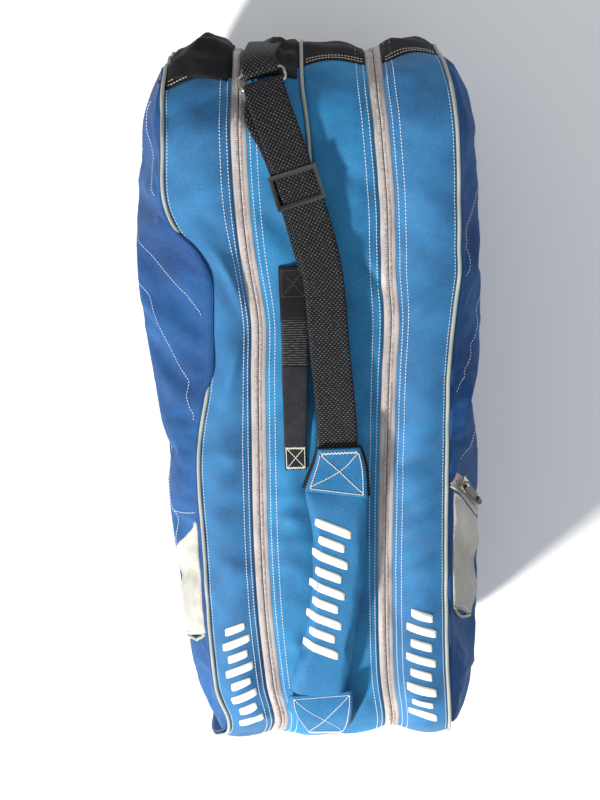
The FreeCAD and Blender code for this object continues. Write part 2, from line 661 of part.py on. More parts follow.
# ring, a bent wire whose far bar turns in the anchor loop
ring = doc.addObject("PartDesign::Body", "strap_ring")
ring_path = body_sketch(ring, "XY_Plane", "ring_path")
ring_half_width = "strap_width / 2 + ring_side_clearance + ring_wire"
rounded_rectangle(ring_path, f"-({ring_half_width})", ring_half_width, "-ring_length", "0", "ring_corner")
wire = body_sketch(ring, "YZ_Plane", "ring_wire_section")
wire.addGeometry(Part.Circle(FreeCAD.Vector(0, 0, 0), Z_AXIS, 1))
dimension(wire, Sketcher.Constraint("Radius", 0, 1), "ring_wire")
wire.addConstraint(Sketcher.Constraint("Coincident", 0, 3, -1, 1))
doc.recompute()
bend = ring.newObject("PartDesign::AdditivePipe", "ring_bend")
bend.Profile = wire
bend.Spine = (ring_path, [f"Edge{index}" for index in range(1, 9)])
ring.Placement = frame_at(far_bar, ring_across, ring_direction)
keep(ring, "strap_ring")


# ---------------------------------------------------------------- checks and files

doc.recompute()
faults = [item.Name for item in doc.Objects if "Invalid" in item.State or "Error" in item.State]
for item in SUB_PARTS:
    if item.Shape.isNull() or not item.Shape.isValid() or item.Shape.Volume <= 0:
        faults.append(item.Label)
if faults:
    raise RuntimeError("faulty objects: " + ", ".join(faults))

os.makedirs("parts", exist_ok=True)
for item in SUB_PARTS:
    item.Shape.exportStep(f"parts/{item.Label}.step")
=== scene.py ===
"""Looks of the two-compartment racket bag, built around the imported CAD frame. Metres throughout."""
import math

import bmesh
import bpy
import numpy as np
from mathutils import Matrix, Vector
from mathutils.bvhtree import BVHTree


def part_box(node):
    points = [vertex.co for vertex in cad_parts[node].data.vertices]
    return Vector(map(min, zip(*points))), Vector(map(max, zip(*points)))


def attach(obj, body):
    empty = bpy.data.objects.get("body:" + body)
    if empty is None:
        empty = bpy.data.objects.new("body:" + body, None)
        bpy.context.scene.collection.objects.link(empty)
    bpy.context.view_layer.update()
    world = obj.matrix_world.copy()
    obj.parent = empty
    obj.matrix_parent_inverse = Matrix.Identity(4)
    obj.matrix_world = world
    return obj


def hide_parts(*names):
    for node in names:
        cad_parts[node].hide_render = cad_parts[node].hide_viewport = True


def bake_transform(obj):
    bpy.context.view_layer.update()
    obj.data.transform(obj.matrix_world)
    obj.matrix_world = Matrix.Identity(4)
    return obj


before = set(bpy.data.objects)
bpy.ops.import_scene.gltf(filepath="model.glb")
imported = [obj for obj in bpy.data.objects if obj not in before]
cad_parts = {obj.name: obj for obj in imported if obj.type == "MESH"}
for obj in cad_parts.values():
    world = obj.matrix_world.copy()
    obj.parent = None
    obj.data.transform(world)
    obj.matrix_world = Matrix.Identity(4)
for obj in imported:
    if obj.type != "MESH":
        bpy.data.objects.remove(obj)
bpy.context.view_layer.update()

SCENE = bpy.context.scene

# The bag's outline, seen from the side, as the CAD has it
HALF_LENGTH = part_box("left_side_panel")[1].y
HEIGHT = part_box("left_side_panel")[1].z
CORNER = 0.090
STRAIGHT = HALF_LENGTH - CORNER
FACE = HEIGHT - 2 * CORNER
QUARTER = CORNER * math.pi / 2
ZIP_END = STRAIGHT + QUARTER + (HEIGHT - CORNER - 0.095)
HALF_ROUND = STRAIGHT + QUARTER + FACE + QUARTER + STRAIGHT
SEAM = 0.134
PANEL_EDGE = 0.1365
ZIP = 0.066
TAPE = 0.009
MM = 0.001


# ---------------------------------------------------------------- materials

def srgb(red, green, blue):
    """Linear colour from 0-255 values."""
    def linear(value):
        value /= 255
        return value / 12.92 if value <= 0.04045 else ((value + 0.055) / 1.055) ** 2.4
    return (linear(red), linear(green), linear(blue), 1.0)


class Paint:
    """A small helper that adds nodes to one material."""

    def __init__(self, name):
        self.material = bpy.data.materials.new(name)
        self.material.use_nodes = True
        self.tree = self.material.node_tree
        self.shader = self.tree.nodes["Principled BSDF"]

    def node(self, kind, **settings):
        node = self.tree.nodes.new(kind)
        for key, value in settings.items():
            setattr(node, key, value)
        return node

    def put(self, value, socket):
        if isinstance(value, bpy.types.NodeSocket):
            self.tree.links.new(value, socket)
        else:
            socket.default_value = value

    def math(self, operation, first, second=0.0, third=None):
        node = self.node("ShaderNodeMath", operation=operation)
        self.put(first, node.inputs[0])
        self.put(second, node.inputs[1])
        if third is not None:
            self.put(third, node.inputs[2])
        return node.outputs[0]

    def mix(self, share, first, second):
        node = self.node("ShaderNodeMix", data_type="RGBA")
        self.put(share, node.inputs[0])
        self.put(first, node.inputs[6])
        self.put(second, node.inputs[7])
        return node.outputs[2]

    def ramp(self, value, low, high):
        node = self.node("ShaderNodeMapRange")
        node.clamp = True
        self.put(value, node.inputs[0])
        node.inputs[1].default_value = low
        node.inputs[2].default_value = high
        return node.outputs[0]

    def place(self):
        """The cloth's own coordinates in metres: u across, v along."""
        coordinates = self.node("ShaderNodeUVMap", uv_map="cloth")
        split = self.node("ShaderNodeSeparateXYZ")
        self.tree.links.new(coordinates.outputs[0], split.inputs[0])
        self.uv = coordinates.outputs[0]
        return split.outputs[0], split.outputs[1]

    def object_place(self):
        return self.node("ShaderNodeTexCoord").outputs["Object"]

    def noise(self, scale, detail=3.0, vector=None, roughness=0.55):
        node = self.node("ShaderNodeTexNoise")
        self.put(self.uv if vector is None else vector, node.inputs["Vector"])
        node.inputs["Scale"].default_value = scale
        node.inputs["Detail"].default_value = detail
        node.inputs["Roughness"].default_value = roughness
        return node.outputs["Fac"]

    def wave(self, value, period, phase=0.0):
        """0 to 1 sine of a length in metres."""
        turned = self.math("MULTIPLY_ADD", value, 2 * math.pi / period, phase)
        return self.math("MULTIPLY_ADD", self.math("SINE", turned), 0.5, 0.5)

    def bump(self, height, distance, strength=1.0, below=None):
        node = self.node("ShaderNodeBump")
        node.inputs["Strength"].default_value = strength
        node.inputs["Distance"].default_value = distance
        self.put(height, node.inputs["Height"])
        if below is not None:
            self.put(below, node.inputs["Normal"])
        return node.outputs[0]

    def finish(self, color, roughness, normal, sheen=0.0, metallic=0.0, specular=0.5):
        self.put(color, self.shader.inputs["Base Color"])
        self.put(roughness, self.shader.inputs["Roughness"])
        self.put(normal, self.shader.inputs["Normal"])
        self.shader.inputs["Sheen Weight"].default_value = sheen
        self.shader.inputs["Sheen Roughness"].default_value = 0.4
        self.shader.inputs["Metallic"].default_value = metallic
        self.shader.inputs["Specular IOR Level"].default_value = specular
        return self.material


def woven(name, dark, light, painted_glint, period=0.0023, contrast=0.9, cloud=0.45, sheen=0.05):
    """Coated polyester: diagonal twill threads, cloudy fading, fine fibres and painted highlights on the
    threads.
    """
    paint = Paint(name)
    u, v = paint.place()
    wobble = paint.math("MULTIPLY_ADD", paint.noise(160, 2), 0.0011, -0.0005)
    diagonal = paint.math("ADD", paint.math("ADD", u, v), wobble)
    crossing = paint.math("SUBTRACT", u, v)
    twill = paint.wave(diagonal, period)
    breaks = paint.wave(crossing, period * 0.62)
    thread = paint.math("MULTIPLY", twill, paint.math("MULTIPLY_ADD", breaks, 0.5, 0.5))
    clouds = paint.ramp(paint.noise(16, 5), 0.3, 0.7)
    fading = paint.ramp(paint.noise(60, 3), 0.25, 0.75)
    share = paint.math("MULTIPLY", clouds, cloud)
    share = paint.math("MULTIPLY_ADD", thread, contrast, share)
    share = paint.math("MULTIPLY_ADD", fading, 0.14, share)
    color = paint.mix(paint.ramp(share, 0.0, 1.15), dark, light)
    # Painted highlight: random thread tops are mixed toward a pale glint colour.
    painted_thread_glint = paint.ramp(paint.math("MULTIPLY", thread, paint.noise(700, 1)), 0.44, 0.62)
    color = paint.mix(paint.math("MULTIPLY", painted_thread_glint, 0.55), color, painted_glint)
    height = paint.math("MULTIPLY_ADD", paint.noise(900, 2), 0.35, thread)
    normal = paint.bump(height, 0.0004, 0.7, paint.bump(clouds, 0.0012, 0.5))
    roughness = paint.math("MULTIPLY_ADD", thread, -0.18, 0.72)
    return paint.finish(color, roughness, normal, sheen, specular=0.32)


def plain_weave(name, dark, light, period=0.0011, sheen=0.03, cloud=0.5, grain=0.8, roughness=0.7):
    """Finer cloth with threads straight along and across."""
    paint = Paint(name)
    u, v = paint.place()
    across = paint.wave(u, period)
    along = paint.wave(v, period)
    thread = paint.math("MULTIPLY", across, along)
    clouds = paint.ramp(paint.noise(14, 5), 0.3, 0.72)
    fibres = paint.noise(420, 3)
    share = paint.math("MULTIPLY_ADD", clouds, cloud, paint.math("MULTIPLY", thread, 0.3))
    share = paint.math("MULTIPLY_ADD", fibres, 0.35, share)
    color = paint.mix(paint.ramp(share, 0.1, 1.1), dark, light)
    height = paint.math("MULTIPLY_ADD", fibres, 0.5, thread)
    normal = paint.bump(height, 0.0003, grain, paint.bump(clouds, 0.0014, 0.5))
    shine = paint.math("MULTIPLY_ADD", fibres, -0.2, roughness + 0.1)
    return paint.finish(color, shine, normal, sheen, specular=0.25)


def webbing_material(name, along_period=0.0021, across_period=0.0042, ribbed=0.0, painted_glint=0.55):
    """Heavy black polypropylene webbing: staggered weft floats with painted highlights on them."""
    paint = Paint(name)
    u, v = paint.place()
    row = paint.math("FLOOR", paint.math("DIVIDE", v, along_period))
    odd = paint.math("MULTIPLY", paint.math("MODULO", row, 2.0), across_period / 2)
    shifted = paint.math("ADD", u, odd)
    across = paint.wave(shifted, across_period)
    along = paint.math("ABSOLUTE", paint.math("SINE", paint.math("MULTIPLY", v, math.pi / along_period)))
    floats = paint.math("MULTIPLY", across, along)
    floats = paint.math("MULTIPLY_ADD", along, ribbed, paint.math("MULTIPLY", floats, 1 - ribbed))
    glint_and_bump_noise = paint.noise(260, 3)
    # Painted highlight: the tops of the weft floats are mixed toward light grey, varied by noise.
    painted_glint_mask = paint.ramp(paint.math("MULTIPLY", floats, paint.math("ADD", glint_and_bump_noise, 0.35)), 0.5, 0.95)
    base = paint.mix(paint.noise(40, 3), srgb(5, 6, 8), srgb(17, 18, 21))
    color = paint.mix(paint.math("MULTIPLY", painted_glint_mask, painted_glint), base, srgb(150, 150, 156))
    height = paint.math("MULTIPLY_ADD", glint_and_bump_noise, 0.2, floats)
    normal = paint.bump(height, 0.0007, 0.9)
    roughness = paint.math("MULTIPLY_ADD", floats, -0.3, 0.68)
    return paint.finish(color, roughness, normal, 0.03, specular=0.22)


def plush_material():
    """The worn, fuzzy middle of the grab handle, dark grey."""
    paint = Paint("handle_plush")
    paint.place()
    pile = paint.noise(380, 4)
    brushed = paint.noise(55, 4)
    share = paint.math("MULTIPLY_ADD", brushed, 0.7, paint.math("MULTIPLY", pile, 0.45))
    color = paint.mix(paint.ramp(share, 0.3, 0.9), srgb(12, 13, 17), srgb(52, 54, 58))
    normal = paint.bump(pile, 0.0009, 0.9)
    return paint.finish(color, 0.85, normal, 0.12, specular=0.25)


def thread_material(name, light, dark):
    """Twisted sewing thread."""
    paint = Paint(name)
    vector = paint.object_place()
    fuzz = paint.noise(1500, 2, vector)
    color = paint.mix(fuzz, dark, light)
    return paint.finish(color, 0.55, paint.bump(fuzz, 0.0002, 0.8), 0.2)


def tape_material():
    """Zip tape, a fine herringbone knit with a pinkish beige cast and a worn middle."""
    paint = Paint("zip_tape_cloth")
    u, v = paint.place()
    zigzag = paint.math("PINGPONG", u, 0.0012)
    knit = paint.wave(paint.math("ADD", v, zigzag), 0.0011)
    stain = paint.ramp(paint.noise(22, 4), 0.3, 0.7)
    share = paint.math("MULTIPLY_ADD", knit, 0.5, paint.math("MULTIPLY", stain, 0.5))
    color = paint.mix(share, srgb(148, 141, 141), srgb(224, 215, 210))
    return paint.finish(color, 0.7, paint.bump(knit, 0.0004, 0.7), 0.15)


def coil_material():
    """Nylon coil of the zips, the tape's colour with darker roots."""
    paint = Paint("zip_coil_nylon")
    vector = paint.object_place()
    grime = paint.ramp(paint.noise(300, 3, vector), 0.35, 0.7)
    color = paint.mix(grime, srgb(156, 144, 142), srgb(218, 206, 200))
    return paint.finish(color, 0.42, paint.bump(grime, 0.0002, 0.4))


def print_material():
    """Thick cream screen print, a little cracked at its edges."""
    paint = Paint("cream_print")
    u, v = paint.place()
    cracks = paint.ramp(paint.noise(330, 4), 0.28, 0.36)
    thread = paint.wave(paint.math("ADD", u, v), 0.0023)
    color = paint.mix(cracks, srgb(196, 190, 166), srgb(252, 249, 234))
    height = paint.math("MULTIPLY_ADD", cracks, 0.8, paint.math("MULTIPLY", thread, 0.3))
    return paint.finish(color, 0.5, paint.bump(height, 0.0003, 0.6))


def moulded_material():
    """Black acetal of the buckle and knobs, with random scuffs and a painted highlight along its sharp edges.
    """
    paint = Paint("black_acetal")
    vector = paint.object_place()
    grain = paint.noise(1400, 3, vector)
    scuffs = paint.ramp(paint.noise(120, 5, vector), 0.52, 0.75)
    edges = paint.node("ShaderNodeNewGeometry").outputs["Pointiness"]
    # Painted highlight: edges picked out by pointiness are lightened; the scuffs mixed in are random wear.
    worn = paint.math("MAXIMUM", paint.math("MULTIPLY", scuffs, 0.3), paint.ramp(edges, 0.52, 0.6))
    color = paint.mix(worn, srgb(14, 15, 18), srgb(60, 62, 64))
    roughness = paint.math("MULTIPLY_ADD", scuffs, 0.15, 0.36)
    return paint.finish(color, roughness, paint.bump(grain, 0.0002, 0.5))


def metal_material():
    """Nickel plate of the sliders, stops and ring, dulled by handling."""
    paint = Paint("nickel_plate")
    vector = paint.object_place()
    smear = paint.ramp(paint.noise(240, 4, vector), 0.35, 0.75)
    pits = paint.noise(2200, 2, vector)
    color = paint.mix(smear, srgb(205, 200, 192), srgb(140, 130, 116))
    roughness = paint.math("MULTIPLY_ADD", smear, 0.22, 0.2)
    return paint.finish(color, roughness, paint.bump(pits, 0.0001, 0.4), metallic=1.0)


def make_materials():
    return {
        # The third colour of each twill is the painted highlight on its threads.
        "gusset": woven("gusset_twill", srgb(3, 32, 80), srgb(58, 142, 200), srgb(160, 206, 232)),
        # The inner strips get a lighter, more cyan copy of the gusset twill: painted sheen standing in for
        # light reflected off them.
        "centre": woven("centre_twill_painted_sheen", srgb(4, 48, 100), srgb(44, 152, 208), srgb(160, 216, 240)),
        "strap": woven("strap_twill", srgb(4, 56, 106), srgb(42, 140, 194), srgb(160, 216, 236), cloud=0.35),
        "side": plain_weave("side_cloth", srgb(6, 40, 90), srgb(40, 104, 166)),
        "black": plain_weave("black_cloth", srgb(7, 7, 9), srgb(40, 38, 40), period=0.0024, cloud=0.2),
        "grey": plain_weave("grey_cloth", srgb(124, 124, 120), srgb(208, 206, 197), cloud=0.7),
        "lining": plain_weave("lining_cloth", srgb(22, 24, 28), srgb(66, 70, 78), roughness=0.6),
        "piping": plain_weave("piping_cloth", srgb(138, 143, 134), srgb(206, 209, 197), period=0.0008),
        "webbing": webbing_material("webbing_weave"),
        # The handle's ribs carry the same painted highlight, weaker.
        "rib": webbing_material("handle_rib", 0.0023, 0.012, ribbed=0.85, painted_glint=0.36),
        "plush": plush_material(),
        "thread": thread_material("white_thread", srgb(250, 250, 248), srgb(198, 206, 214)),
        "cream_thread": thread_material("cream_thread", srgb(250, 246, 232), srgb(206, 200, 184)),
        "black_thread": thread_material("black_thread", srgb(64, 60, 62), srgb(24, 23, 26)),
        "tape": tape_material(),
        "coil": coil_material(),
        "print": print_material(),
        "plastic": moulded_material(),
        "metal": metal_material(),
    }


PAINT = make_materials()


# ---------------------------------------------------------------- mesh helpers

def mesh_object(name, vertices, faces, material, uv=None, smooth=True):
    """A new object; uv gives one (u, v) in metres per vertex."""
    mesh = bpy.data.meshes.new(name)
    mesh.from_pydata([tuple(v) for v in np.asarray(vertices, float)], [], [tuple(f) for f in faces])
    mesh.update()
    layer = mesh.uv_layers.new(name="cloth")
    if uv is not None:
        corners = np.zeros(len(mesh.loops), np.int32)
        mesh.loops.foreach_get("vertex_index", corners)
        layer.data.foreach_set("uv", np.asarray(uv, np.float32)[corners].ravel())
    mesh.polygons.foreach_set("use_smooth", [smooth] * len(mesh.polygons))
    mesh.materials.append(PAINT[material])
    thing = bpy.data.objects.new(name, mesh)
    SCENE.collection.objects.link(thing)
    return thing


def grid_faces(rows, cols, first=0):
    """Quads of a rows x cols grid of vertices."""
    i, j = np.meshgrid(np.arange(rows - 1), np.arange(cols - 1), indexing="ij")
    a = (first + i * cols + j).ravel()
    return np.stack([a, a + 1, a + cols + 1, a + cols], 1)


def rim_of(rows, cols):
    """The border vertices of a grid, in order round it."""
    top = [j for j in range(cols)]
    right = [i * cols + cols - 1 for i in range(1, rows)]
    bottom = [(rows - 1) * cols + j for j in range(cols - 2, -1, -1)]
    left = [i * cols for i in range(rows - 2, 0, -1)]
    return top + right + bottom + left


def shell(name, outer, inner, uv, material):
    """A closed skin between two grids of points of the same size."""
    rows, cols = outer.shape[:2]
    count = rows * cols
    vertices = np.concatenate([outer.reshape(-1, 3), inner.reshape(-1, 3)])
    faces = [tuple(f) for f in grid_faces(rows, cols)]
    faces += [tuple(f[::-1]) for f in grid_faces(rows, cols, count)]
    rim = rim_of(rows, cols)
    for here, there in zip(rim, rim[1:] + rim[:1]):
        faces.append((there, here, here + count, there + count))
    thing = mesh_object(name, vertices, faces, material, np.tile(uv.reshape(-1, 2), (2, 1)))
    face_outward(thing)
    return thing


def face_outward(thing):
    """Turns a closed mesh's faces to point out of it."""
    work = bmesh.new()
    work.from_mesh(thing.data)
    bmesh.ops.recalc_face_normals(work, faces=work.faces)
    work.to_mesh(thing.data)
    work.free()


def spread(first, last, step):
    return np.linspace(first, last, max(3, int(round(abs(last - first) / step)) + 1))


def smooth_curve(at, stations, values):
    """Smooth line through given stations, with no overshoot at flat spots."""
    stations = np.asarray(stations, float)
    values = np.asarray(values, float)
    slopes = np.gradient(values, stations, axis=0)
    at = np.clip(at, stations[0], stations[-1])
    k = np.clip(np.searchsorted(stations, at) - 1, 0, len(stations) - 2)
    width = stations[k + 1] - stations[k]
    t = (at - stations[k]) / width
    if values.ndim > 1:
        t = t[..., None]
        width = width[..., None]
    a = (1 + 2 * t) * (1 - t) ** 2 * values[k] + t * t * (3 - 2 * t) * values[k + 1]
    return a + width * (t * (1 - t) ** 2 * slopes[k] - t * t * (1 - t) * slopes[k + 1])


def ease(value):
    value = np.clip(value, 0, 1)
    return value * value * (3 - 2 * value)


# ---------------------------------------------------------------- the bag's skin

def outline(s, out=0.0):
    """y and z on the rounded side outline, s metres from the middle of the top, out metres outside it."""
    away = np.abs(s)
    radius = CORNER + out
    top_turn = np.clip((away - STRAIGHT) / CORNER, 0, math.pi / 2)
    down = np.clip(away - STRAIGHT - QUARTER, 0, FACE)
    low_turn = np.clip((away - STRAIGHT - QUARTER - FACE) / CORNER, 0, math.pi / 2)
    back = np.clip(away - STRAIGHT - 2 * QUARTER - FACE, 0, None)
    y = np.minimum(away, STRAIGHT) + radius * np.sin(top_turn) + radius * (np.cos(low_turn) - 1) - back
    z = HEIGHT - CORNER + radius * np.cos(top_turn) - down - radius * np.sin(low_turn)
    return np.sign(s) * y, z


# How far each seam and zip wanders sideways, in mm, at stations along the bag
STATIONS = np.array([-370, -345, -280, -210, -130, -20, 50, 110, 150, 175, 200, 290, 340, 370]) * MM
WANDER = {
    "left_seam": [0, 20, 13, 9, 8, 8, 21, 24, 24, 13, -5, -12, -11, -6],
    "left_zip": [0, 11, 6, 1, -1, 1, 3, 5, 0, -3, -5, -7, -5, -2],
    "centre": [0, 9, 2, 1, 0, -3, -3, -3, -3, -4, -4, -6, -10, -9],
    "right_zip": [0, 2, -4, -5, -4, 0, 3, 6, 4, 4, 4, -1, -4, -3],
    "right_seam": [0, -3, -8, -9, -9, -7, -5, 1, 6, 6, 6, 4, -1, -6],
}
KNOTS = [(-0.137, "left_seam"), (-0.131, "left_seam"), (-0.076, "left_zip"), (-0.056, "left_zip"),
         (-0.003, "centre"), (0.003, "centre"), (0.056, "right_zip"), (0.076, "right_zip"),
         (0.131, "right_seam"), (0.137, "right_seam")]


def wander(x, y, z):
    """Sideways shift of the cloth that the CAD has at x."""
    fade = ease((z - 0.10) / 0.12)
    shift = {name: smooth_curve(y, STATIONS, values) * MM for name, values in WANDER.items()}
    places = [place for place, _ in KNOTS]
    total = np.where(x <= places[0], shift[KNOTS[0][1]], 0.0)
    total = np.where(x >= places[-1], shift[KNOTS[-1][1]], total)
    for (low, low_name), (high, high_name) in zip(KNOTS, KNOTS[1:]):
        share = np.clip((x - low) / (high - low), 0, 1)
        inside = (x > low) & (x < high) | (x == high) & (high < places[-1])
        total = np.where(inside, shift[low_name] * (1 - share) + shift[high_name] * share, total)
    return total * fade


# Creases in the cloth: x, y, turn in degrees from across the bag, length, width, height (mm)
CREASES = [
    (104, -62, 28, 46, 7, 2.6), (106, -84, 26, 50, 6, 2.4), (104, -108, 30, 46, 7, 2.6),
    (107, -132, 25, 42, 6, 2.2), (103, -158, 32, 50, 7, 2.6), (108, -184, 28, 36, 6, 1.8),
    (104, -212, 20, 30, 7, 1.5), (100, -40, 22, 60, 9, -3.0), (60, -47, 8, 60, 9, -1.8),
    (-36, -74, 4, 34, 6, 2.0), (-38, -98, -4, 36, 6, 2.4), (-36, -124, 5, 34, 6, 2.2),
    (-40, -150, -3, 30, 6, 1.8), (-36, -190, 20, 40, 8, 2.0), (-34, -238, -18, 34, 7, 1.8),
    (-92, 145, -62, 90, 10, 4.2), (-98, 60, 72, 70, 9, 3.0), (-86, 96, 48, 46, 7, -2.2),
    (-96, -30, -10, 50, 9, 1.8), (-100, -80, 12, 40, 8, -1.6), (-96, -150, -24, 50, 9, 1.8),
    (46, 148, -44, 62, 8, -3.2), (96, 118, 38, 60, 11, 2.4), (102, 222, -36, 60, 12, 2.4),
    (98, 170, 44, 44, 9, -2.0), (34, 196, 40, 50, 10, 2.0), (36, 245, -34, 44, 9, -1.8),
    (-96, 236, 30, 44, 10, 1.8), (-100, 205, -36, 40, 9, -1.8), (40, 60, 60, 60, 10, 1.6),
    (40, -10, -58, 60, 10, 1.6), (34, -310, 24, 50, 9, 2.2), (100, -300, -28, 46, 9, 2.0),
    (-92, -270, 34, 44, 8, 2.0), (-92, -318, -22, 40, 8, 1.8), (-30, 30, 30, 40, 8, 1.4),
    (-36, 205, -50, 40, 9, -1.8),
]


def creases(s, x):
    height = np.zeros_like(s)
    for middle_x, middle_y, turn, length, width, rise in CREASES:
        across = x * 1000 - middle_x
        along = s * 1000 - middle_y
        cosine, sine = math.cos(math.radians(turn)), math.sin(math.radians(turn))
        run = across * cosine + along * sine
        side = -across * sine + along * cosine + 0.004 * run * run / max(length, 1) * 8
        height += rise * np.exp(-(run / (length * 0.45)) ** 2 - (side / (width * 0.85)) ** 2)
    return 1.5 * height * MM


def waves(s, x):
    """Slow unevenness of hand-sewn cloth."""
    a = np.sin(31 * s + 2.1 * np.sin(23 * x + 0.7)) * np.sin(47 * x + 1.3)
    b = np.sin(71 * s - 53 * x + 1.9 * np.sin(37 * s))
    c = np.sin(139 * s + 97 * x + 1.7 * np.sin(61 * x + 2.0))
    return (1.1 * a + 0.8 * b + 0.45 * c) * MM


def black_start(x):
    """Where the black end is sewn on, as a distance along the top."""
    return 0.360 + 0.16 * x + 0.004 * np.sin(60 * x + 0.6)


def head_gather(s, x):
    """The black end bunches up: a dip before its seam, then fat rolls over the corner."""
    start = black_start(x)
    dip = -5.5 * np.exp(-((s - start + 0.030) / 0.016) ** 2) * ease((0.02 - x) / 0.08)
    crest = 3.5 * np.exp(-((s - 0.292) / 0.022) ** 2) * ease((0.02 - x) / 0.08)
    roll = ease((s - start) / 0.035) * ease((0.53 - s) / 0.06)
    rolls = 7 + 3.2 * np.sin(66 * x + 1.1) + 1.8 * np.sin(151 * x + 20 * s) + 1.5 * np.sin(260 * s + 40 * x)
    return (dip + crest + roll * rolls) * MM


def tail_sag(s, x):
    """The tail end bulges softly between its seams."""
    here = np.exp(-((s + 0.375) / 0.055) ** 2)
    return here * (3.5 + 3.0 * np.cos(44 * x + 0.5)) * MM * ease((s + 0.52) / 0.1)


def crown(x):
    """Each strip of cloth swells between its seams, and the zip tapes lie in the dips."""
    away = np.abs(x)
    inner = 3.2 * np.clip(1 - ((away - 0.0295) / 0.0265) ** 2, 0, None)
    outer = 5.0 * np.clip(1 - ((away - 0.1035) / 0.0275) ** 2, 0, None)
    return (inner + outer) * MM


def rise(s, x):
    """Height of the cloth above the CAD's surface."""
    free = ease((s + 0.43) / 0.07)
    taped = np.clip(np.abs(np.abs(x) - ZIP) / TAPE, 0, 1)
    level = 0.35 + 0.65 * ease(taped)
    top = ease((0.46 - s) / 0.08)
    detail = (creases(s, x) + waves(s, x)) * level * free * (0.3 + 0.7 * top)
    below = ease((ZIP_END - np.abs(s)) / 0.03)
    bunch = head_gather(s, x) + tail_sag(s, x) * free
    return (crown(x) * (0.35 + 0.65 * free) + detail + bunch) * below


def skin(s, x, out=0.0):
    """Points of the bag's cloth: s along the outline, x across, out above the cloth."""
    s, x, out = np.broadcast_arrays(np.asarray(s, float), np.asarray(x, float), np.asarray(out, float))
    y0, z0 = outline(s)
    y, z = outline(s, out + rise(s, x))
    return np.stack([x + wander(x, y0, z0), y, z], -1)


def strip(name, s, x, thickness, material, body, nodes, top=0.0):
    """A closed strip of cloth over the grid of s and x."""
    s, x = np.broadcast_arrays(s, x)
    thing = shell(name, skin(s, x, top), skin(s, x, top - thickness), np.dstack([x, s]), material)
    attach(thing, body)
    if nodes:
        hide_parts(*nodes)
    return thing


def cloth_grid(first, last, left, right, step=0.005):
    s = spread(first, last, step)[:, None]
    x = spread(left, right, step)[None, :]
    return s + 0 * x, x + 0 * s


# ---------------------------------------------------------------- thread and cord

def resample(points, step):
    """Even points along a line, with their directions."""
    points = np.asarray(points, float)
    gaps = np.linalg.norm(np.diff(points, axis=0), axis=1)
    run = np.concatenate([[0], np.cumsum(gaps)])
    count = max(2, int(round(run[-1] / step)) + 1)
    at = np.linspace(0, run[-1], count)
    even = np.stack([np.interp(at, run, points[:, k]) for k in range(3)], 1)
    direction = np.gradient(even, axis=0)
    direction /= np.linalg.norm(direction, axis=1)[:, None]
    return even, direction, at, run


def unit(vectors):
    return vectors / np.maximum(np.linalg.norm(vectors, axis=-1, keepdims=True), 1e-12)


RINGS = [(-0.5, 0.35), (-0.36, 0.95), (0.0, 1.05), (0.36, 0.95), (0.5, 0.35)]
SIDES = 6


def bead_template():
    """One stitch: a short rounded bar along its first axis."""
    vertices = []
    for along, size in RINGS:
        for k in range(SIDES):
            turn = 2 * math.pi * k / SIDES
            vertices.append((along, size * math.cos(turn), size * math.sin(turn)))
    faces = []
    for ring in range(len(RINGS) - 1):
        for k in range(SIDES):
            a = ring * SIDES + k
            b = ring * SIDES + (k + 1) % SIDES
            faces.append((a, b, b + SIDES, a + SIDES))
    faces.append(tuple(reversed(range(SIDES))))
    faces.append(tuple(range((len(RINGS) - 1) * SIDES, len(RINGS) * SIDES)))
    return np.array(vertices), faces


BEAD, BEAD_FACES = bead_template()


def beads(name, centres, directions, normals, length, radius, material, body, nodes=(), flat=0.8):
    """Many small bars in one object: stitches, or the coils of a zip."""
    centres, directions = np.asarray(centres), unit(np.asarray(directions))
    side = unit(np.cross(normals, directions))
    up = np.cross(directions, side)
    length = np.broadcast_to(np.asarray(length, float), len(centres))
    offsets = (BEAD[None, :, 0, None] * directions[:, None, :] * length[:, None, None]
               + BEAD[None, :, 1, None] * side[:, None, :] * radius
               + BEAD[None, :, 2, None] * up[:, None, :] * radius * flat)
    vertices = (centres[:, None, :] + offsets).reshape(-1, 3)
    faces = [tuple(i * len(BEAD) + k for k in face) for i in range(len(centres)) for face in BEAD_FACES]
    thing = mesh_object(name, vertices, faces, material)
    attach(thing, body)
    if nodes:
        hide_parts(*nodes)
    return thing


class Seam:
    """Collects lines of stitches that ride on one body."""

    def __init__(self):
        self.centres, self.directions, self.normals, self.lengths = [], [], [], []

    def line(self, points, normals, pitch=0.0034, length=0.0023):
        points = np.asarray(points, float)
        even, direction, at, run = resample(points, pitch)
        normals = np.asarray(normals, float)
        if normals.ndim == 1:
            normals = np.tile(normals, (len(points), 1))
        turned = np.stack([np.interp(at, run, normals[:, k]) for k in range(3)], 1)
        middle = (even[:-1] + even[1:]) / 2
        self.centres.append(middle)
        self.directions.append(even[1:] - even[:-1])
        self.normals.append(turned[:-1])
        self.lengths.append(np.full(len(middle), length))
        return self

    def make(self, name, body, material="thread", radius=0.00042):
        return beads(name, np.concatenate(self.centres), np.concatenate(self.directions),
                     np.concatenate(self.normals), np.concatenate(self.lengths), radius, material, body)


def outward(s):
    """The outline's outward direction at s."""
    y1, z1 = outline(s, 0.001)
    y0, z0 = outline(s)
    return unit(np.stack([0 * y0, y1 - y0, z1 - z0], -1))


def skin_line(first, last, x, out, step=0.003):
    s = spread(first, last, step)
    x = x(s) if callable(x) else np.full_like(s, x)
    return skin(s, x, out), outward(s)


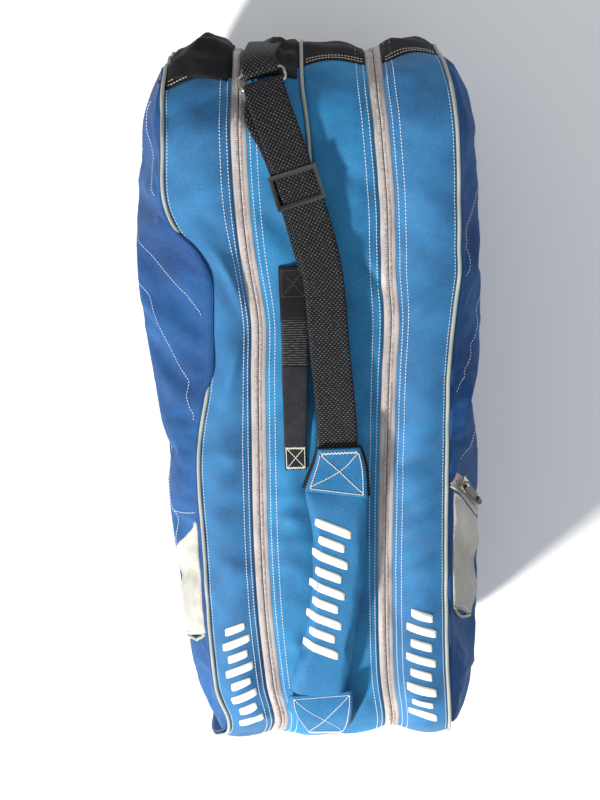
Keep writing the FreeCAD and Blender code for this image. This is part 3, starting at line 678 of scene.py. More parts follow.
def tube(name, points, radius, material, body, nodes=(), sides=10):
    """A round cord along a line of points, closed at its ends."""
    points = np.asarray(points, float)
    direction = unit(np.gradient(points, axis=0))
    reference = np.tile([1.0, 0.0, 0.0], (len(points), 1))
    along_x = np.abs(direction[:, 0]) > 0.9
    reference[along_x] = (0, 0, 1)
    side = unit(np.cross(direction, reference))
    up = np.cross(side, direction)
    size = np.broadcast_to(np.asarray(radius, float), len(points)).copy()
    size[0] *= 0.6
    size[-1] *= 0.6
    turns = np.linspace(0, 2 * math.pi, sides, endpoint=False)
    ring = (np.cos(turns)[None, :, None] * side[:, None, :] + np.sin(turns)[None, :, None] * up[:, None, :])
    vertices = (points[:, None, :] + ring * size[:, None, None]).reshape(-1, 3)
    faces = []
    for i in range(len(points) - 1):
        for k in range(sides):
            a, b = i * sides + k, i * sides + (k + 1) % sides
            faces.append((a, b, b + sides, a + sides))
    faces.append(tuple(range(sides)))
    faces.append(tuple(reversed(range((len(points) - 1) * sides, len(points) * sides))))
    run = np.concatenate([[0], np.cumsum(np.linalg.norm(np.diff(points, axis=0), axis=1))])
    uv = np.stack([np.tile(turns * 0.002, len(points)), np.repeat(run, sides)], 1)
    thing = mesh_object(name, vertices, faces, material, uv)
    face_outward(thing)
    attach(thing, body)
    if nodes:
        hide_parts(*nodes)
    return thing


# ---------------------------------------------------------------- gussets, zips and pipings

def bounded_grid(first, last, left, right, step=0.005):
    """A grid of s and x; first and last may be functions of x."""
    x = spread(left, right, step)[None, :]
    low = first(x) if callable(first) else np.full_like(x, first)
    high = last(x) if callable(last) else np.full_like(x, last)
    rows = int(round(float(np.max(high - low)) / step)) + 1
    share = np.linspace(0, 1, rows)[:, None]
    return low + (high - low) * share, x + 0 * share


def make_gussets():
    for side, name in ((-1, "left"), (1, "right")):
        inner_x = sorted((side * 0.0015, side * (ZIP - TAPE + 0.0010)))
        outer_x = sorted((side * (ZIP + TAPE - 0.0010), side * (SEAM - 0.0012)))
        cover = name + "_cover"
        s, x = bounded_grid(-ZIP_END, lambda v: black_start(v) + 0.003, *inner_x)
        strip(name + "_inner_cloth", s, x, 0.0024, "centre", "root", [name + "_inner_gusset"])
        s, x = bounded_grid(-ZIP_END, lambda v: black_start(v) + 0.003, *outer_x)
        strip(name + "_outer_cloth", s, x, 0.0024, "gusset", cover, [name + "_outer_gusset"])
        s, x = bounded_grid(black_start, ZIP_END, *outer_x)
        strip(name + "_black_cloth", s, x, 0.0026, "black", cover, [name + "_black_end_strip"], 0.0007)
    s, x = bounded_grid(black_start, ZIP_END, -ZIP + TAPE, ZIP - TAPE)
    strip("black_end_cloth", s, x, 0.0026, "black", "root", ["black_end_panel"], 0.0007)


def zip_half(name, side, edge, middle, body, nodes):
    """Half a zip: its tape, and the coil's turns along the meeting edge."""
    left, right = sorted((side * edge, side * middle))
    s, x = bounded_grid(-ZIP_END, ZIP_END, left, right, 0.0035)
    toward = np.abs(np.abs(x) - edge)
    swell = 0.0009 * ease(toward / 0.0035) - 0.0010
    tape = shell(name + "_tape_knit", skin(s, x, swell), skin(s, x, swell - 0.0012),
                 np.dstack([x, s]), "tape")
    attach(tape, body)
    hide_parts(nodes[0])
    turns = np.arange(-ZIP_END + 0.002, ZIP_END - 0.002, 0.0017)
    away = 0.0017 if middle > edge else -0.0017
    centre = side * (middle - away)
    points = skin(turns, np.full_like(turns, centre), 0.00005)
    beads(name + "_coil_turns", points, np.tile([1.0, 0, 0], (len(turns), 1)), outward(turns),
          0.0030, 0.00062, "coil", body, [nodes[1]])


def make_zips():
    for side, name in ((-1, "left"), (1, "right")):
        zip_half(name + "_inner", side, ZIP - TAPE, ZIP - 0.00035, "root",
                 [name + "_inner_zip_tape", name + "_inner_zip_coil"])
        zip_half(name + "_outer", side, ZIP + TAPE, ZIP + 0.00035, name + "_cover",
                 [name + "_outer_zip_tape", name + "_outer_zip_coil"])
        for half, sign, body in (("inner", -1, "root"), ("outer", 1, name + "_cover")):
            seam = Seam()
            for gap in (0.0022, 0.0083):
                place = side * (ZIP + sign * (TAPE + gap))
                out = 0.0004 if gap < 0.005 else 0.0003
                seam.line(*skin_line(-ZIP_END + 0.004, ZIP_END - 0.004, place, out))
            seam.make(f"{name}_{half}_zip_stitches", body)


def fold_zone(y):
    """1 where the left side's cloth hangs over its seam."""
    return ease((y - 0.030) / 0.03) * ease((0.205 - y) / 0.03)


def make_pipings():
    s = spread(-ZIP_END, ZIP_END, 0.003)
    y, _ = outline(s)
    for side, name in ((-1, "left"), (1, "right")):
        sunk = 0.0005 - (0.0045 * fold_zone(y) if side < 0 else 0)
        tube(name + "_seam_cord", skin(s, np.full_like(s, side * SEAM), sunk), 0.0019, "piping",
             name + "_cover", [name + "_seam_piping"])
        lip = Seam().line(*skin_line(-ZIP_END + 0.004, ZIP_END - 0.004, side * (SEAM - 0.0042), 0.0003))
        lip.make(name + "_seam_stitches", name + "_cover", "thread", 0.0003)
    s = spread(-ZIP_END, 0.455, 0.003)
    tube("centre_cord", skin(s, np.zeros_like(s), 0.0008), 0.0019, "piping", "root", ["centre_piping"])


def make_base():
    """The base panel with its sewn channels, and its four corners."""
    y = spread(-STRAIGHT, STRAIGHT, 0.008)[:, None]
    x = spread(-0.1350, 0.1350, 0.006)[None, :]
    y, x = y + 0 * x, x + 0 * y
    channel = 0.0012 * np.abs(np.sin(math.pi * x / 0.045)) ** 0.6
    outer = np.stack([x, y, 0.0014 - channel], -1)
    inner = np.stack([x, y, 0.0052 + 0 * x], -1)
    base = shell("base_cloth", outer, inner, np.dstack([x, y]), "black")
    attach(base, "root")
    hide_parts("base_panel")
    low = STRAIGHT + QUARTER + FACE + QUARTER
    for end, word in ((-1, "tail"), (1, "head")):
        for side, name in ((-1, "left"), (1, "right")):
            first, last = sorted((end * (ZIP_END + 0.0004), end * (low + 0.001)))
            s, x = cloth_grid(first, last, *sorted((0.0, side * 0.1332)))
            material = "gusset" if end < 0 else "black"
            corner = shell(f"{name}_{word}_corner_cloth", skin(s, x, 0), skin(s, x, -0.0026),
                           np.dstack([x, s]), material)
            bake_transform(corner)
            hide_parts(word + "_base_corner")


def make_divider():
    """The padded wall between the two compartments, with sewn channels."""
    rows, cols = 44, 110
    v = np.linspace(0, 1, rows)[:, None]
    u = np.linspace(-1, 1, cols)[None, :]
    z = 0.004 + v * (HEIGHT - 0.0075)
    inset = np.clip(CORNER - np.minimum(z, HEIGHT - z), 0, CORNER)
    half = HALF_LENGTH - 0.004 - (CORNER - np.sqrt(CORNER ** 2 - inset ** 2))
    y = u * half
    z = z + 0 * y
    quilt = np.abs(np.sin(math.pi * y / 0.09)) ** 0.5 * np.clip(np.sin(math.pi * v), 0, 1) ** 0.3
    swell = 0.0006 + 0.0034 * quilt
    wall = shell("divider_pad", np.stack([swell, y, z], -1), np.stack([-swell, y, z], -1),
                 np.dstack([y, z]), "lining")
    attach(wall, "root")
    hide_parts("centre_divider")


# ---------------------------------------------------------------- side panels

BULGE_AT = np.array([-370, -330, -275, -230, -150, -100, -30, 15, 80, 150, 200, 250, 310, 345, 370]) * MM
BULGE = {
    "left": np.array([127, 134, 141, 145, 153, 156, 159, 165, 173, 178, 177, 173, 161, 151, 146]) * MM,
    "right": np.array([146, 152, 156, 157, 158, 158, 158, 158, 160, 160, 159, 156, 151, 147, 145]) * MM,
}
SIDE_SIGN = {"left": -1, "right": 1}
SLOPE = {"left": 0.072, "right": 0.060}
BEND = {"left": 2.1, "right": 2.6}
CLOTH_THICK = 0.0028


def depth_in(y, z):
    """How far a point of the side lies in from the rounded outline."""
    across = np.abs(y) - STRAIGHT
    above = np.abs(z - HEIGHT / 2) - (HEIGHT / 2 - CORNER)
    outside = np.hypot(np.clip(across, 0, None), np.clip(above, 0, None))
    inside = np.minimum(np.maximum(across, above), 0)
    return CORNER - outside - inside


def side_x(name, y, z):
    """The side's distance from the middle before the cloth simulation."""
    sign = SIDE_SIGN[name]
    rim = PANEL_EDGE + sign * wander(np.full_like(y, sign * PANEL_EDGE), y, z)
    full = smooth_curve(y, BULGE_AT, BULGE[name])
    low = ease((0.16 - z) / 0.16)
    full = full * (1 - low) + np.maximum(0.152, full - 0.004) * low
    share = 1 - (1 - np.clip(depth_in(y, z) / SLOPE[name], 0, 1)) ** BEND[name]
    return rim + (full - rim) * share


def side_grid(cols=150, rows=62):
    """y and z over the whole side, from a square grid fitted into the rounded outline."""
    u = np.linspace(0, 1, cols)
    v = np.linspace(0, 1, rows)
    corner = STRAIGHT + QUARTER / 2
    low_corner = STRAIGHT + QUARTER + FACE + QUARTER / 2
    top = np.stack(outline(corner * (2 * u - 1)), -1)
    way = 2 * u - 1
    under = np.where(way < 0, -1.0, 1.0) * (HALF_ROUND - (HALF_ROUND - low_corner) * np.abs(way))
    bottom = np.stack(outline(under), -1)
    down = corner + (low_corner - corner) * v
    tail, head = np.stack(outline(-down), -1), np.stack(outline(down), -1)
    u, v = u[None, :, None], v[:, None, None]
    flat = (1 - v) * top[None] + v * bottom[None] + (1 - u) * tail[:, None] + u * head[:, None]
    flat -= (1 - u) * (1 - v) * top[0] + u * (1 - v) * top[-1] + (1 - u) * v * bottom[0] + u * v * bottom[-1]
    return flat[..., 0], flat[..., 1]


def let_go(points, held, name):
    """Lets a grid of cloth swell and crumple a little, held where held is true."""
    rows, cols = points.shape[:2]
    cloth = mesh_object(name, points.reshape(-1, 3), grid_faces(rows, cols), "side")
    group = cloth.vertex_groups.new(name="held")
    group.add([int(i) for i in np.flatnonzero(held.ravel())], 1.0, "REPLACE")
    modifier = cloth.modifiers.new("cloth", "CLOTH")
    settings = modifier.settings
    settings.quality = 5
    settings.mass = 0.35
    settings.tension_stiffness = 18
    settings.compression_stiffness = 18
    settings.shear_stiffness = 6
    settings.bending_stiffness = 1.6
    settings.air_damping = 6
    settings.vertex_group_mass = "held"
    settings.shrink_min = -0.035
    settings.use_pressure = True
    settings.uniform_pressure_force = 0.6
    settings.effector_weights.gravity = 0
    modifier.collision_settings.use_collision = False
    for number in range(1, 26):
        SCENE.frame_set(number)
    after = cloth.evaluated_get(bpy.context.evaluated_depsgraph_get()).to_mesh()
    moved = np.zeros(len(after.vertices) * 3)
    after.vertices.foreach_get("co", moved)
    moved = moved.reshape(rows, cols, 3)
    bpy.data.objects.remove(cloth)
    SCENE.frame_set(1)
    return moved


def limit(step, most):
    """Shortens moves that are longer than most."""
    length = np.linalg.norm(step, axis=-1, keepdims=True)
    return step * np.minimum(1, most / np.maximum(length, 1e-9))


def grid_normals(points, sign):
    across = np.gradient(points, axis=1)
    down = np.gradient(points, axis=0)
    normal = unit(np.cross(across, down))
    return normal * np.where(np.sum(normal[..., 0]) * sign < 0, -1, 1)


def flatten_pocket(points):
    """Keeps the right side low along the pocket zip, so its slider runs clear."""
    y, z = points[..., 1], points[..., 2]
    near = ease((y + 0.150) / 0.022) * ease((-0.032 - y) / 0.022) * ease((z - 0.208) / 0.014)
    level = 0.1355 + 0.6 * (0.280 - z) - 0.0020
    points = points.copy()
    points[..., 0] -= near * np.clip(points[..., 0] - level, 0, None)
    return points


class Side:
    """One side panel: its cloth, and where things sewn to it sit."""

    def __init__(self, name):
        self.name, self.sign = name, SIDE_SIGN[name]
        y, z = side_grid()
        x = side_x(name, y, z)
        if self.sign < 0:
            near = np.exp(-(depth_in(y, z) / 0.013) ** 2) * fold_zone(y) * (z > 0.15)
            x = x - 0.0065 * near
            z = z + 0.0042 * near
        points = np.stack([self.sign * x, y, z], -1)
        held = np.zeros(y.shape, bool)
        held[:2] = held[-2:] = True
        held[:, :2] = held[:, -2:] = True
        points = points + limit(let_go(points, held, name + "_let_go") - points, 0.010)
        sag = self.sign * 0.0016 * np.sin(24 * y + 31 * z) * np.sin(17 * z + 9 * y + 1)
        points[..., 0] += sag * ease(depth_in(y, z) / 0.05)
        if self.sign > 0:
            points = flatten_pocket(points)
        self.points = points
        normals = grid_normals(points, self.sign)
        self.cloth = shell(name + "_side_cloth", points, points - normals * CLOTH_THICK,
                           np.dstack([y, z]), "side")
        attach(self.cloth, name + "_cover")
        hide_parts(name + "_side_panel")
        faces = [tuple(int(i) for i in f) for f in grid_faces(*y.shape)]
        self.tree = BVHTree.FromPolygons([tuple(p) for p in points.reshape(-1, 3)], faces)

    def at(self, y, z, out=0.0):
        """Points on the panel over y and z, and the cloth's direction there."""
        y, z, out = np.broadcast_arrays(np.asarray(y, float), np.asarray(z, float), np.asarray(out, float))
        places = np.zeros(y.shape + (3,))
        normals = np.zeros(y.shape + (3,))
        for index in np.ndindex(y.shape):
            start = Vector((self.sign * 0.30, y[index], z[index]))
            hit, normal, _, _ = self.tree.ray_cast(start, Vector((-self.sign, 0, 0)))
            if hit is None:
                hit, normal, _, _ = self.tree.find_nearest(Vector((self.sign * 0.14, y[index], z[index])))
            if normal.x * self.sign < 0:
                normal = -normal
            places[index] = hit
            normals[index] = normal
        return places + normals * out[..., None], normals

    def line(self, stations, out, step=0.003):
        """A smooth line over given (y, z) stations."""
        stations = np.asarray(stations, float)
        run = np.concatenate([[0], np.cumsum(np.linalg.norm(np.diff(stations, axis=0), axis=1))])
        way = smooth_curve(spread(0, run[-1], step), run, stations)
        return self.at(way[:, 0], way[:, 1], out)

    def patch(self, label, near, far, out, thick, material, nodes=(), cols=26, rows=16):
        """A sewn-on piece between two edges, each given by two (y, z) ends."""
        u = np.linspace(0, 1, cols)[None, :, None]
        v = np.linspace(0, 1, rows)[:, None, None]
        near, far = np.asarray(near, float), np.asarray(far, float)
        flat = (1 - v) * ((1 - u) * near[0] + u * near[1]) + v * ((1 - u) * far[0] + u * far[1])
        outer, normals = self.at(flat[..., 0], flat[..., 1], out)
        crumple = 0.0009 * np.sin(flat[..., 0] * 260 + 90 * flat[..., 1]) * np.sin(flat[..., 1] * 190 - 1)
        loose = np.sin(math.pi * u[..., 0]) * np.sin(math.pi * v[..., 0])
        outer = outer + normals * (crumple * loose)[..., None]
        piece = shell(label, outer, outer - normals * thick, flat, material)
        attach(piece, self.name + "_cover")
        if nodes:
            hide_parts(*nodes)
        return piece


# ---------------------------------------------------------------- things sewn to the sides

SIDE_LINES = {
    "left": [
        [(0.325, 0.243), (0.297, 0.236), (0.268, 0.243), (0.232, 0.268)],
        [(0.345, 0.100), (0.280, 0.150), (0.194, 0.218), (0.150, 0.250), (0.113, 0.276)],
        [(0.285, 0.045), (0.215, 0.140), (0.138, 0.218), (0.070, 0.252), (0.006, 0.274)],
        [(0.120, 0.050), (0.050, 0.160), (-0.023, 0.226), (-0.060, 0.236), (-0.098, 0.240), (-0.150, 0.236)],
        [(-0.098, 0.240), (-0.096, 0.258), (-0.092, 0.272)],
    ],
    "right": [
        [(0.330, 0.110), (0.270, 0.200), (0.215, 0.250), (0.143, 0.274)],
        [(0.270, 0.060), (0.175, 0.180), (0.097, 0.245), (0.026, 0.274)],
        [(0.130, 0.040), (0.060, 0.150), (-0.010, 0.240), (-0.045, 0.268)],
    ],
}
INSERT = {
    "left": {"near": [(-0.099, 0.2755), (-0.224, 0.2755)], "far": [(-0.153, 0.226), (-0.246, 0.226)]},
    "right": {"near": [(-0.077, 0.2755), (-0.203, 0.2755)], "far": [(-0.123, 0.226), (-0.233, 0.226)]},
}
ZIP_NEAR = (-0.064, 0.276)
ZIP_FAR = (-0.112, 0.224)


def make_side(name):
    side = Side(name)
    cover = name + "_cover"
    seam = Seam()
    for stations in SIDE_LINES[name]:
        seam.line(*side.line(stations, 0.0003))
    insert = INSERT[name]
    side.patch(name + "_insert_cloth", insert["near"], insert["far"], 0.0016, 0.0022, "grey",
               [name + "_insert"])
    end = insert["near"][1], insert["far"][1]
    belly = ((end[0][0] + end[1][0]) / 2 - 0.006, (end[0][1] + end[1][1]) / 2)
    points, _ = side.line([end[0], belly, end[1]], 0.0017, 0.002)
    tube(name + "_insert_cord", points, 0.0016, "piping", cover, [name + "_insert_piping"])
    start = insert["near"][0], insert["far"][0]
    seam.line(*side.line([(p[0] - 0.003, p[1]) for p in start], 0.0021))
    seam.line(*side.line([(end[0][0] + 0.004, end[0][1]), (end[1][0] + 0.004, end[1][1])], 0.0021))
    below = [insert["far"][0], insert["far"][1]]
    seam.line(*side.line([(p[0], p[1] + 0.002) for p in below], 0.0021))
    seam.make(name + "_side_stitches", cover, "thread", 0.0004)
    return side


def make_pocket(side):
    """The slanting pocket zip of the right side, and the lining behind it."""
    near, far = np.array(ZIP_NEAR), np.array(ZIP_FAR)
    along = (far - near) / np.linalg.norm(far - near)
    across = np.array([-along[1], along[0]])
    rows, cols = 40, 13
    v = np.linspace(0, 1, rows)[:, None, None]
    a = np.linspace(-0.0078, 0.0078, cols)[None, :, None]
    flat = near + (far - near) * v + across * a
    outer, normals = side.at(flat[..., 0], flat[..., 1], 0.0018)
    uv = np.dstack([np.broadcast_to(a[..., 0], (rows, cols)),
                    np.broadcast_to(v[..., 0] * 0.075, (rows, cols))])
    tape = shell("pocket_tape_knit", outer, outer - normals * 0.0016, uv, "tape")
    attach(tape, "right_cover")
    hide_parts("pocket_zip_tape")
    turns = np.linspace(0.02, 0.98, 44)[:, None]
    places, directions, normal_rows = [], [], []
    for sign in (-1, 1):
        flat = near + (far - near) * turns + across * 0.0016 * sign
        points, normals = side.at(flat[:, 0], flat[:, 1], 0.0020)
        places.append(points)
        normal_rows.append(normals)
        sideways = np.array([0, across[0], across[1]])
        directions.append(np.tile(sideways, (len(points), 1)))
    beads("pocket_coil_turns", np.concatenate(places), np.concatenate(directions),
          np.concatenate(normal_rows), 0.0029, 0.0006, "coil", "right_cover", ["pocket_zip_coil"])
    seam = Seam()
    for offset in (-0.0066, 0.0066):
        flat = near + (far - near) * np.linspace(0.02, 0.98, 20)[:, None] + across * offset
        seam.line(*side.at(flat[:, 0], flat[:, 1], 0.0021), pitch=0.003, length=0.002)
    seam.make("pocket_stitches", "right_cover", "thread", 0.0004)
    low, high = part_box("pocket_lining")
    y = spread(low.y + 0.004, high.y - 0.004, 0.006)[None, :]
    z = spread(low.z + 0.003, high.z - 0.003, 0.006)[:, None]
    y, z = y + 0 * z, z + 0 * y
    inside, normals = side.at(y, z, -0.0036)
    bag = shell("pocket_bag", inside, inside - normals * 0.0012, np.dstack([y, z]), "lining")
    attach(bag, "right_cover")
    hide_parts("pocket_lining")


# ---------------------------------------------------------------- straps

class Band:
    """A flat band along smooth stations: middles, across directions and widths."""

    def __init__(self, middles, across, widths, step=0.002, upright=True):
        middles = np.asarray(middles, float)
        gaps = np.linalg.norm(np.diff(middles, axis=0), axis=1)
        run = np.concatenate([[0], np.cumsum(gaps)])
        at = spread(0, run[-1], step)
        self.middle = smooth_curve(at, run, middles)
        self.tangent = unit(np.gradient(self.middle, axis=0))
        across = unit(smooth_curve(at, run, unit(np.asarray(across, float))))
        self.across = unit(across - self.tangent * np.sum(across * self.tangent, 1, keepdims=True))
        self.normal = np.cross(self.across, self.tangent)
        if upright and self.normal[:, 2].mean() < 0:
            self.normal = -self.normal
        self.width = smooth_curve(at, run, np.asarray(widths, float))
        self.at = at

    def build(self, name, thickness, material, body, nodes=(), cols=17, ruffle=0.0):
        share = np.sin(np.linspace(-math.pi / 2, math.pi / 2, cols)) * 0.35 + np.linspace(-1, 1, cols) * 0.65
        edge = np.sqrt(np.clip(1 - np.abs(share) ** 12, 0.0, 1)) * 0.85 + 0.15
        a = share[None, :] * self.width[:, None] / 2
        body_points = self.middle[:, None, :] + self.across[:, None, :] * a[..., None]
        wave = ruffle * np.sin(self.at[:, None] * 90 + a * 60) * share[None, :] ** 2
        half = (thickness / 2) * edge[None, :, None] * self.normal[:, None, :]
        body_points = body_points + self.normal[:, None, :] * wave[..., None]
        uv = np.dstack([a, np.broadcast_to(self.at[:, None], a.shape)])
        piece = shell(name, body_points + half, body_points - half, uv, material)
        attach(piece, body)
        if nodes:
            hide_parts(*nodes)
        return piece

    def points(self, along, share, lift):
        """Points on the band: along in metres, share from -1 to 1 across, lift above its middle."""
        along, share = np.broadcast_arrays(np.asarray(along, float), np.asarray(share, float))
        result = np.zeros(along.shape + (3,))
        normals = np.zeros_like(result)
        width = np.interp(along, self.at, self.width)
        for k in range(3):
            middle = np.interp(along, self.at, self.middle[:, k])
            across = np.interp(along, self.at, self.across[:, k])
            normals[..., k] = np.interp(along, self.at, self.normal[:, k])
            result[..., k] = middle + across * share * width / 2 + normals[..., k] * lift
        return result, normals

    def stitch(self, seam, corners, lift, pitch=0.0034, length=0.0024):
        """Stitches along straight runs between (along, share) corners."""
        for (a0, s0), (a1, s1) in zip(corners, corners[1:]):
            count = 14
            points, normals = self.points(np.linspace(a0, a1, count), np.linspace(s0, s1, count), lift)
            seam.line(points, normals, pitch, length)

    def bar_tack(self, seam, along, first, last, lift, depth=0.0022, pitch=0.0011):
        """A dense zigzag across the band."""
        count = int(abs(last - first) * 0.5 * float(np.interp(along, self.at, self.width)) / pitch)
        share = np.linspace(first, last, count)
        zigzag = along + depth * np.where(np.arange(count) % 2 == 0, -0.5, 0.5)
        points, normals = self.points(zigzag, share, lift)
        seam.line(points, normals, 0.0012, 0.0024)


X_AXIS = (1.0, 0.0, 0.0)
STRAP_WIDTH = 0.0394
WEBBING = 0.0018
LAYER_DROP = 0.0066
ADJUSTER = np.array((-0.2679762, 0.9615616, -0.0599006))
ADJUSTER_ACROSS = unit(np.array((ADJUSTER[1], -ADJUSTER[0], 0.0)))
NEAR_BAR = np.array((-0.047, 0.333, 0.273739))
FAR_BAR = np.array((-0.050078, 0.346849, 0.266341))
RING_RUN = unit(FAR_BAR - NEAR_BAR)
RING_ACROSS = np.array((0.9761871, 0.2169305, 0.0))
RING_NORMAL = unit(np.cross(RING_ACROSS, RING_RUN))
LOOP = 0.0044


def half_loop(centre, along, normal, steps=8):
    turns = np.linspace(0, math.pi, steps + 1)[:, None]
    return list(centre + (along * np.sin(turns) + normal * np.cos(turns)) * LOOP)


def make_shoulder_webbing():
    crest_across = unit(np.array((0.153, 0.011, 0.0)))
    before = NEAR_BAR - RING_RUN * 0.009
    bend = half_loop(NEAR_BAR, RING_RUN, RING_NORMAL)
    upper = [(0.0155, -0.064, 0.2976), (0.014, 0.005, 0.301), (0.009, 0.077, 0.302), (0.003, 0.158, 0.300),
             (-0.031, 0.280, 0.2924), before + RING_NORMAL * LOOP]
    drop = np.array((0, 0, -LAYER_DROP))
    lower = [before - RING_NORMAL * LOOP, np.array((-0.047, 0.306, 0.288163)) + drop,
             np.array((-0.035, 0.280, 0.2924)) + drop, np.array((0.001, 0.158, 0.300)) + drop]
    across = [X_AXIS, X_AXIS, crest_across, ADJUSTER_ACROSS, ADJUSTER_ACROSS, RING_ACROSS]
    across += [RING_ACROSS] * (len(bend) + 2) + [ADJUSTER_ACROSS, ADJUSTER_ACROSS]
    stations = upper + bend + lower
    band = Band(stations, across, [STRAP_WIDTH] * len(stations), 0.0015, upright=False)
    band.build("shoulder_webbing_weave", WEBBING, "webbing", "root", ["shoulder_webbing"], ruffle=0.0004)
    return band


def make_anchor():
    """The black loop that holds the ring, sewn to the black end."""
    x = -0.041
    leg = skin(np.array([0.445, 0.415, 0.388]), np.full(3, x), np.array([0.0016, 0.0022, 0.0040]))
    back = skin(np.array([0.388, 0.415, 0.440]), np.full(3, x), np.array([0.0085, 0.0052, 0.0040]))
    around = half_loop(FAR_BAR, -RING_RUN, -RING_NORMAL)
    stations = list(leg) + around + list(back)
    across = [X_AXIS] * 3 + [RING_ACROSS] * len(around) + [X_AXIS] * 3
    band = Band(stations, across, [0.034] * len(stations), 0.0015, upright=False)
    band.build("anchor_webbing", WEBBING, "webbing", "root", ["strap_anchor_loop"])
    seam = Seam()
    s = np.linspace(-0.054, -0.028, 12)
    for place in (0.428, 0.433):
        seam.line(skin(np.full(12, place), s, 0.0052), outward(np.full(12, place)))
    seam.make("anchor_stitches", "root", "black_thread", 0.0004)


GATHER_START, GATHER_END = 0.346, 0.470


def make_gathers():
    """Bunched black cloth on the head corner, left of the middle, beside and over the ring's loop."""
    for label, body, left, right, tall in (("left", "left_cover", -0.131, -0.0768, 0.0085),
                                           ("centre", "root", -0.0552, -0.0045, 0.0090)):
        s = spread(GATHER_START, GATHER_END, 0.0016)[:, None]
        x = spread(left, right, 0.0016)[None, :]
        s, x = s + 0 * x, x + 0 * s
        across = (x - left) / (right - left)
        along = (s - GATHER_START) / (GATHER_END - GATHER_START)
        hump = (np.sin(math.pi * across) * np.sin(math.pi * along ** 0.8)).clip(0, 1) ** 0.6
        folds = (0.72 + 0.34 * np.sin(170 * x + 34 * s + 1.2 * np.sin(90 * s))
                 + 0.18 * np.sin(250 * s - 120 * x + 0.8) + 0.07 * np.sin(420 * x + 200 * s))
        out = 0.0014 + tall * hump * folds.clip(0.12, 1.3)
        cloth = shell("gathered_cloth_" + label, skin(s, x, out), skin(s, x, out - 0.0012),
                      np.dstack([x, s]), "black")
        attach(cloth, body)


def make_end_stitches():
    """Twin rows of cream stitches that hold the black end."""
    for name, body, left, right in (("left", "left_cover", -0.130, -0.077),
                                    ("centre_left", "root", -0.055, -0.004),
                                    ("centre_right", "root", 0.004, 0.055),
                                    ("right", "right_cover", 0.077, 0.130)):
        seam = Seam()
        x = spread(left, right, 0.003)
        for gap in (0.004, 0.0085):
            s = black_start(x) + gap
            seam.line(skin(s, x, 0.0010), outward(s), 0.0032, 0.0023)
        seam.make(name + "_end_stitches", body, "cream_thread", 0.0004)


PAD_STATIONS = [(0.0130, -0.063, 0.2990), (0.0125, -0.106, 0.2985), (0.0100, -0.165, 0.2985),
                (0.0000, -0.225, 0.2965), (-0.0105, -0.280, 0.2925), (-0.0150, -0.314, 0.2805)]
PAD_WIDTH = 0.069


def pad_core():
    """The pad before it swells: a closed, flat band."""
    count = len(PAD_STATIONS)
    band = Band(PAD_STATIONS, [X_AXIS] * count, [PAD_WIDTH - 0.003] * count, 0.003)
    return band.build("padded_strap_cloth", 0.0070, "strap", "root", ["padded_strap"], cols=25)


def swell(piece, most=0.006, pressure=4.0, voxel=0.004):
    """Remeshes a closed piece and lets cloth under pressure fill it out."""
    remesh = piece.modifiers.new("voxels", "REMESH")
    remesh.mode = "VOXEL"
    remesh.voxel_size = voxel
    remesh.use_smooth_shade = True
    bake(piece)
    before = vertex_array(piece)
    cloth = piece.modifiers.new("cloth", "CLOTH")
    cloth.settings.quality = 5
    cloth.settings.mass = 0.3
    cloth.settings.tension_stiffness = 14
    cloth.settings.compression_stiffness = 14
    cloth.settings.bending_stiffness = 0.6
    cloth.settings.shrink_min = -0.02
    cloth.settings.use_pressure = True
    cloth.settings.uniform_pressure_force = pressure
    cloth.settings.effector_weights.gravity = 0
    cloth.collision_settings.use_collision = False
    for number in range(1, 21):
        SCENE.frame_set(number)
    bake(piece)
    after = before + limit(vertex_array(piece) - before, most)
    piece.data.vertices.foreach_set("co", after.ravel())
    SCENE.frame_set(1)
    subdivide = piece.modifiers.new("smooth", "SUBSURF")
    subdivide.levels = subdivide.render_levels = 1
    bake(piece)
    return piece


def bake(piece):
    """Applies a piece's modifiers to its mesh."""
    done = bpy.data.meshes.new_from_object(piece.evaluated_get(bpy.context.evaluated_depsgraph_get()))
    piece.modifiers.clear()
    piece.data = done


def vertex_array(piece):
    values = np.zeros(len(piece.data.vertices) * 3)
    piece.data.vertices.foreach_get("co", values)
    return values.reshape(-1, 3)


def lay_cloth_on(piece, across_of, along_of):
    """Gives a remeshed piece its cloth coordinates again."""
    points = vertex_array(piece)
    layer = piece.data.uv_layers.get("cloth") or piece.data.uv_layers.new(name="cloth")
    uv = np.stack([across_of(points), along_of(points)], 1).astype(np.float32)
    corners = np.zeros(len(piece.data.loops), np.int32)
    piece.data.loops.foreach_get("vertex_index", corners)
    layer.data.foreach_set("uv", uv[corners].ravel())
    piece.data.polygons.foreach_set("use_smooth", [True] * len(piece.data.polygons))


def make_padded_strap():
    pad = pad_core()
    swell(pad)
    lay_cloth_on(pad, lambda p: p[:, 0], lambda p: p[:, 1] - 0.6 * (p[:, 2] - 0.29))
    if not pad.data.materials:
        pad.data.materials.append(PAINT["strap"])
    points = [tuple(v.co) for v in pad.data.vertices]
    tree = BVHTree.FromPolygons(points, [tuple(p.vertices) for p in pad.data.polygons])
    return tree


def drape(tree, points, out):
    """Drops points straight down onto a piece, then lifts them by out along its normal."""
    points = np.asarray(points, float)
    placed = points.copy()
    normals = np.tile((0.0, 0.0, 1.0), (len(points), 1))
    for i, point in enumerate(points):
        hit, normal, _, _ = tree.ray_cast(Vector((point[0], point[1], 0.40)), Vector((0, 0, -1)))
        if hit is not None:
            placed[i] = np.array(hit) + np.array(normal) * out
            normals[i] = normal
    return placed, normals


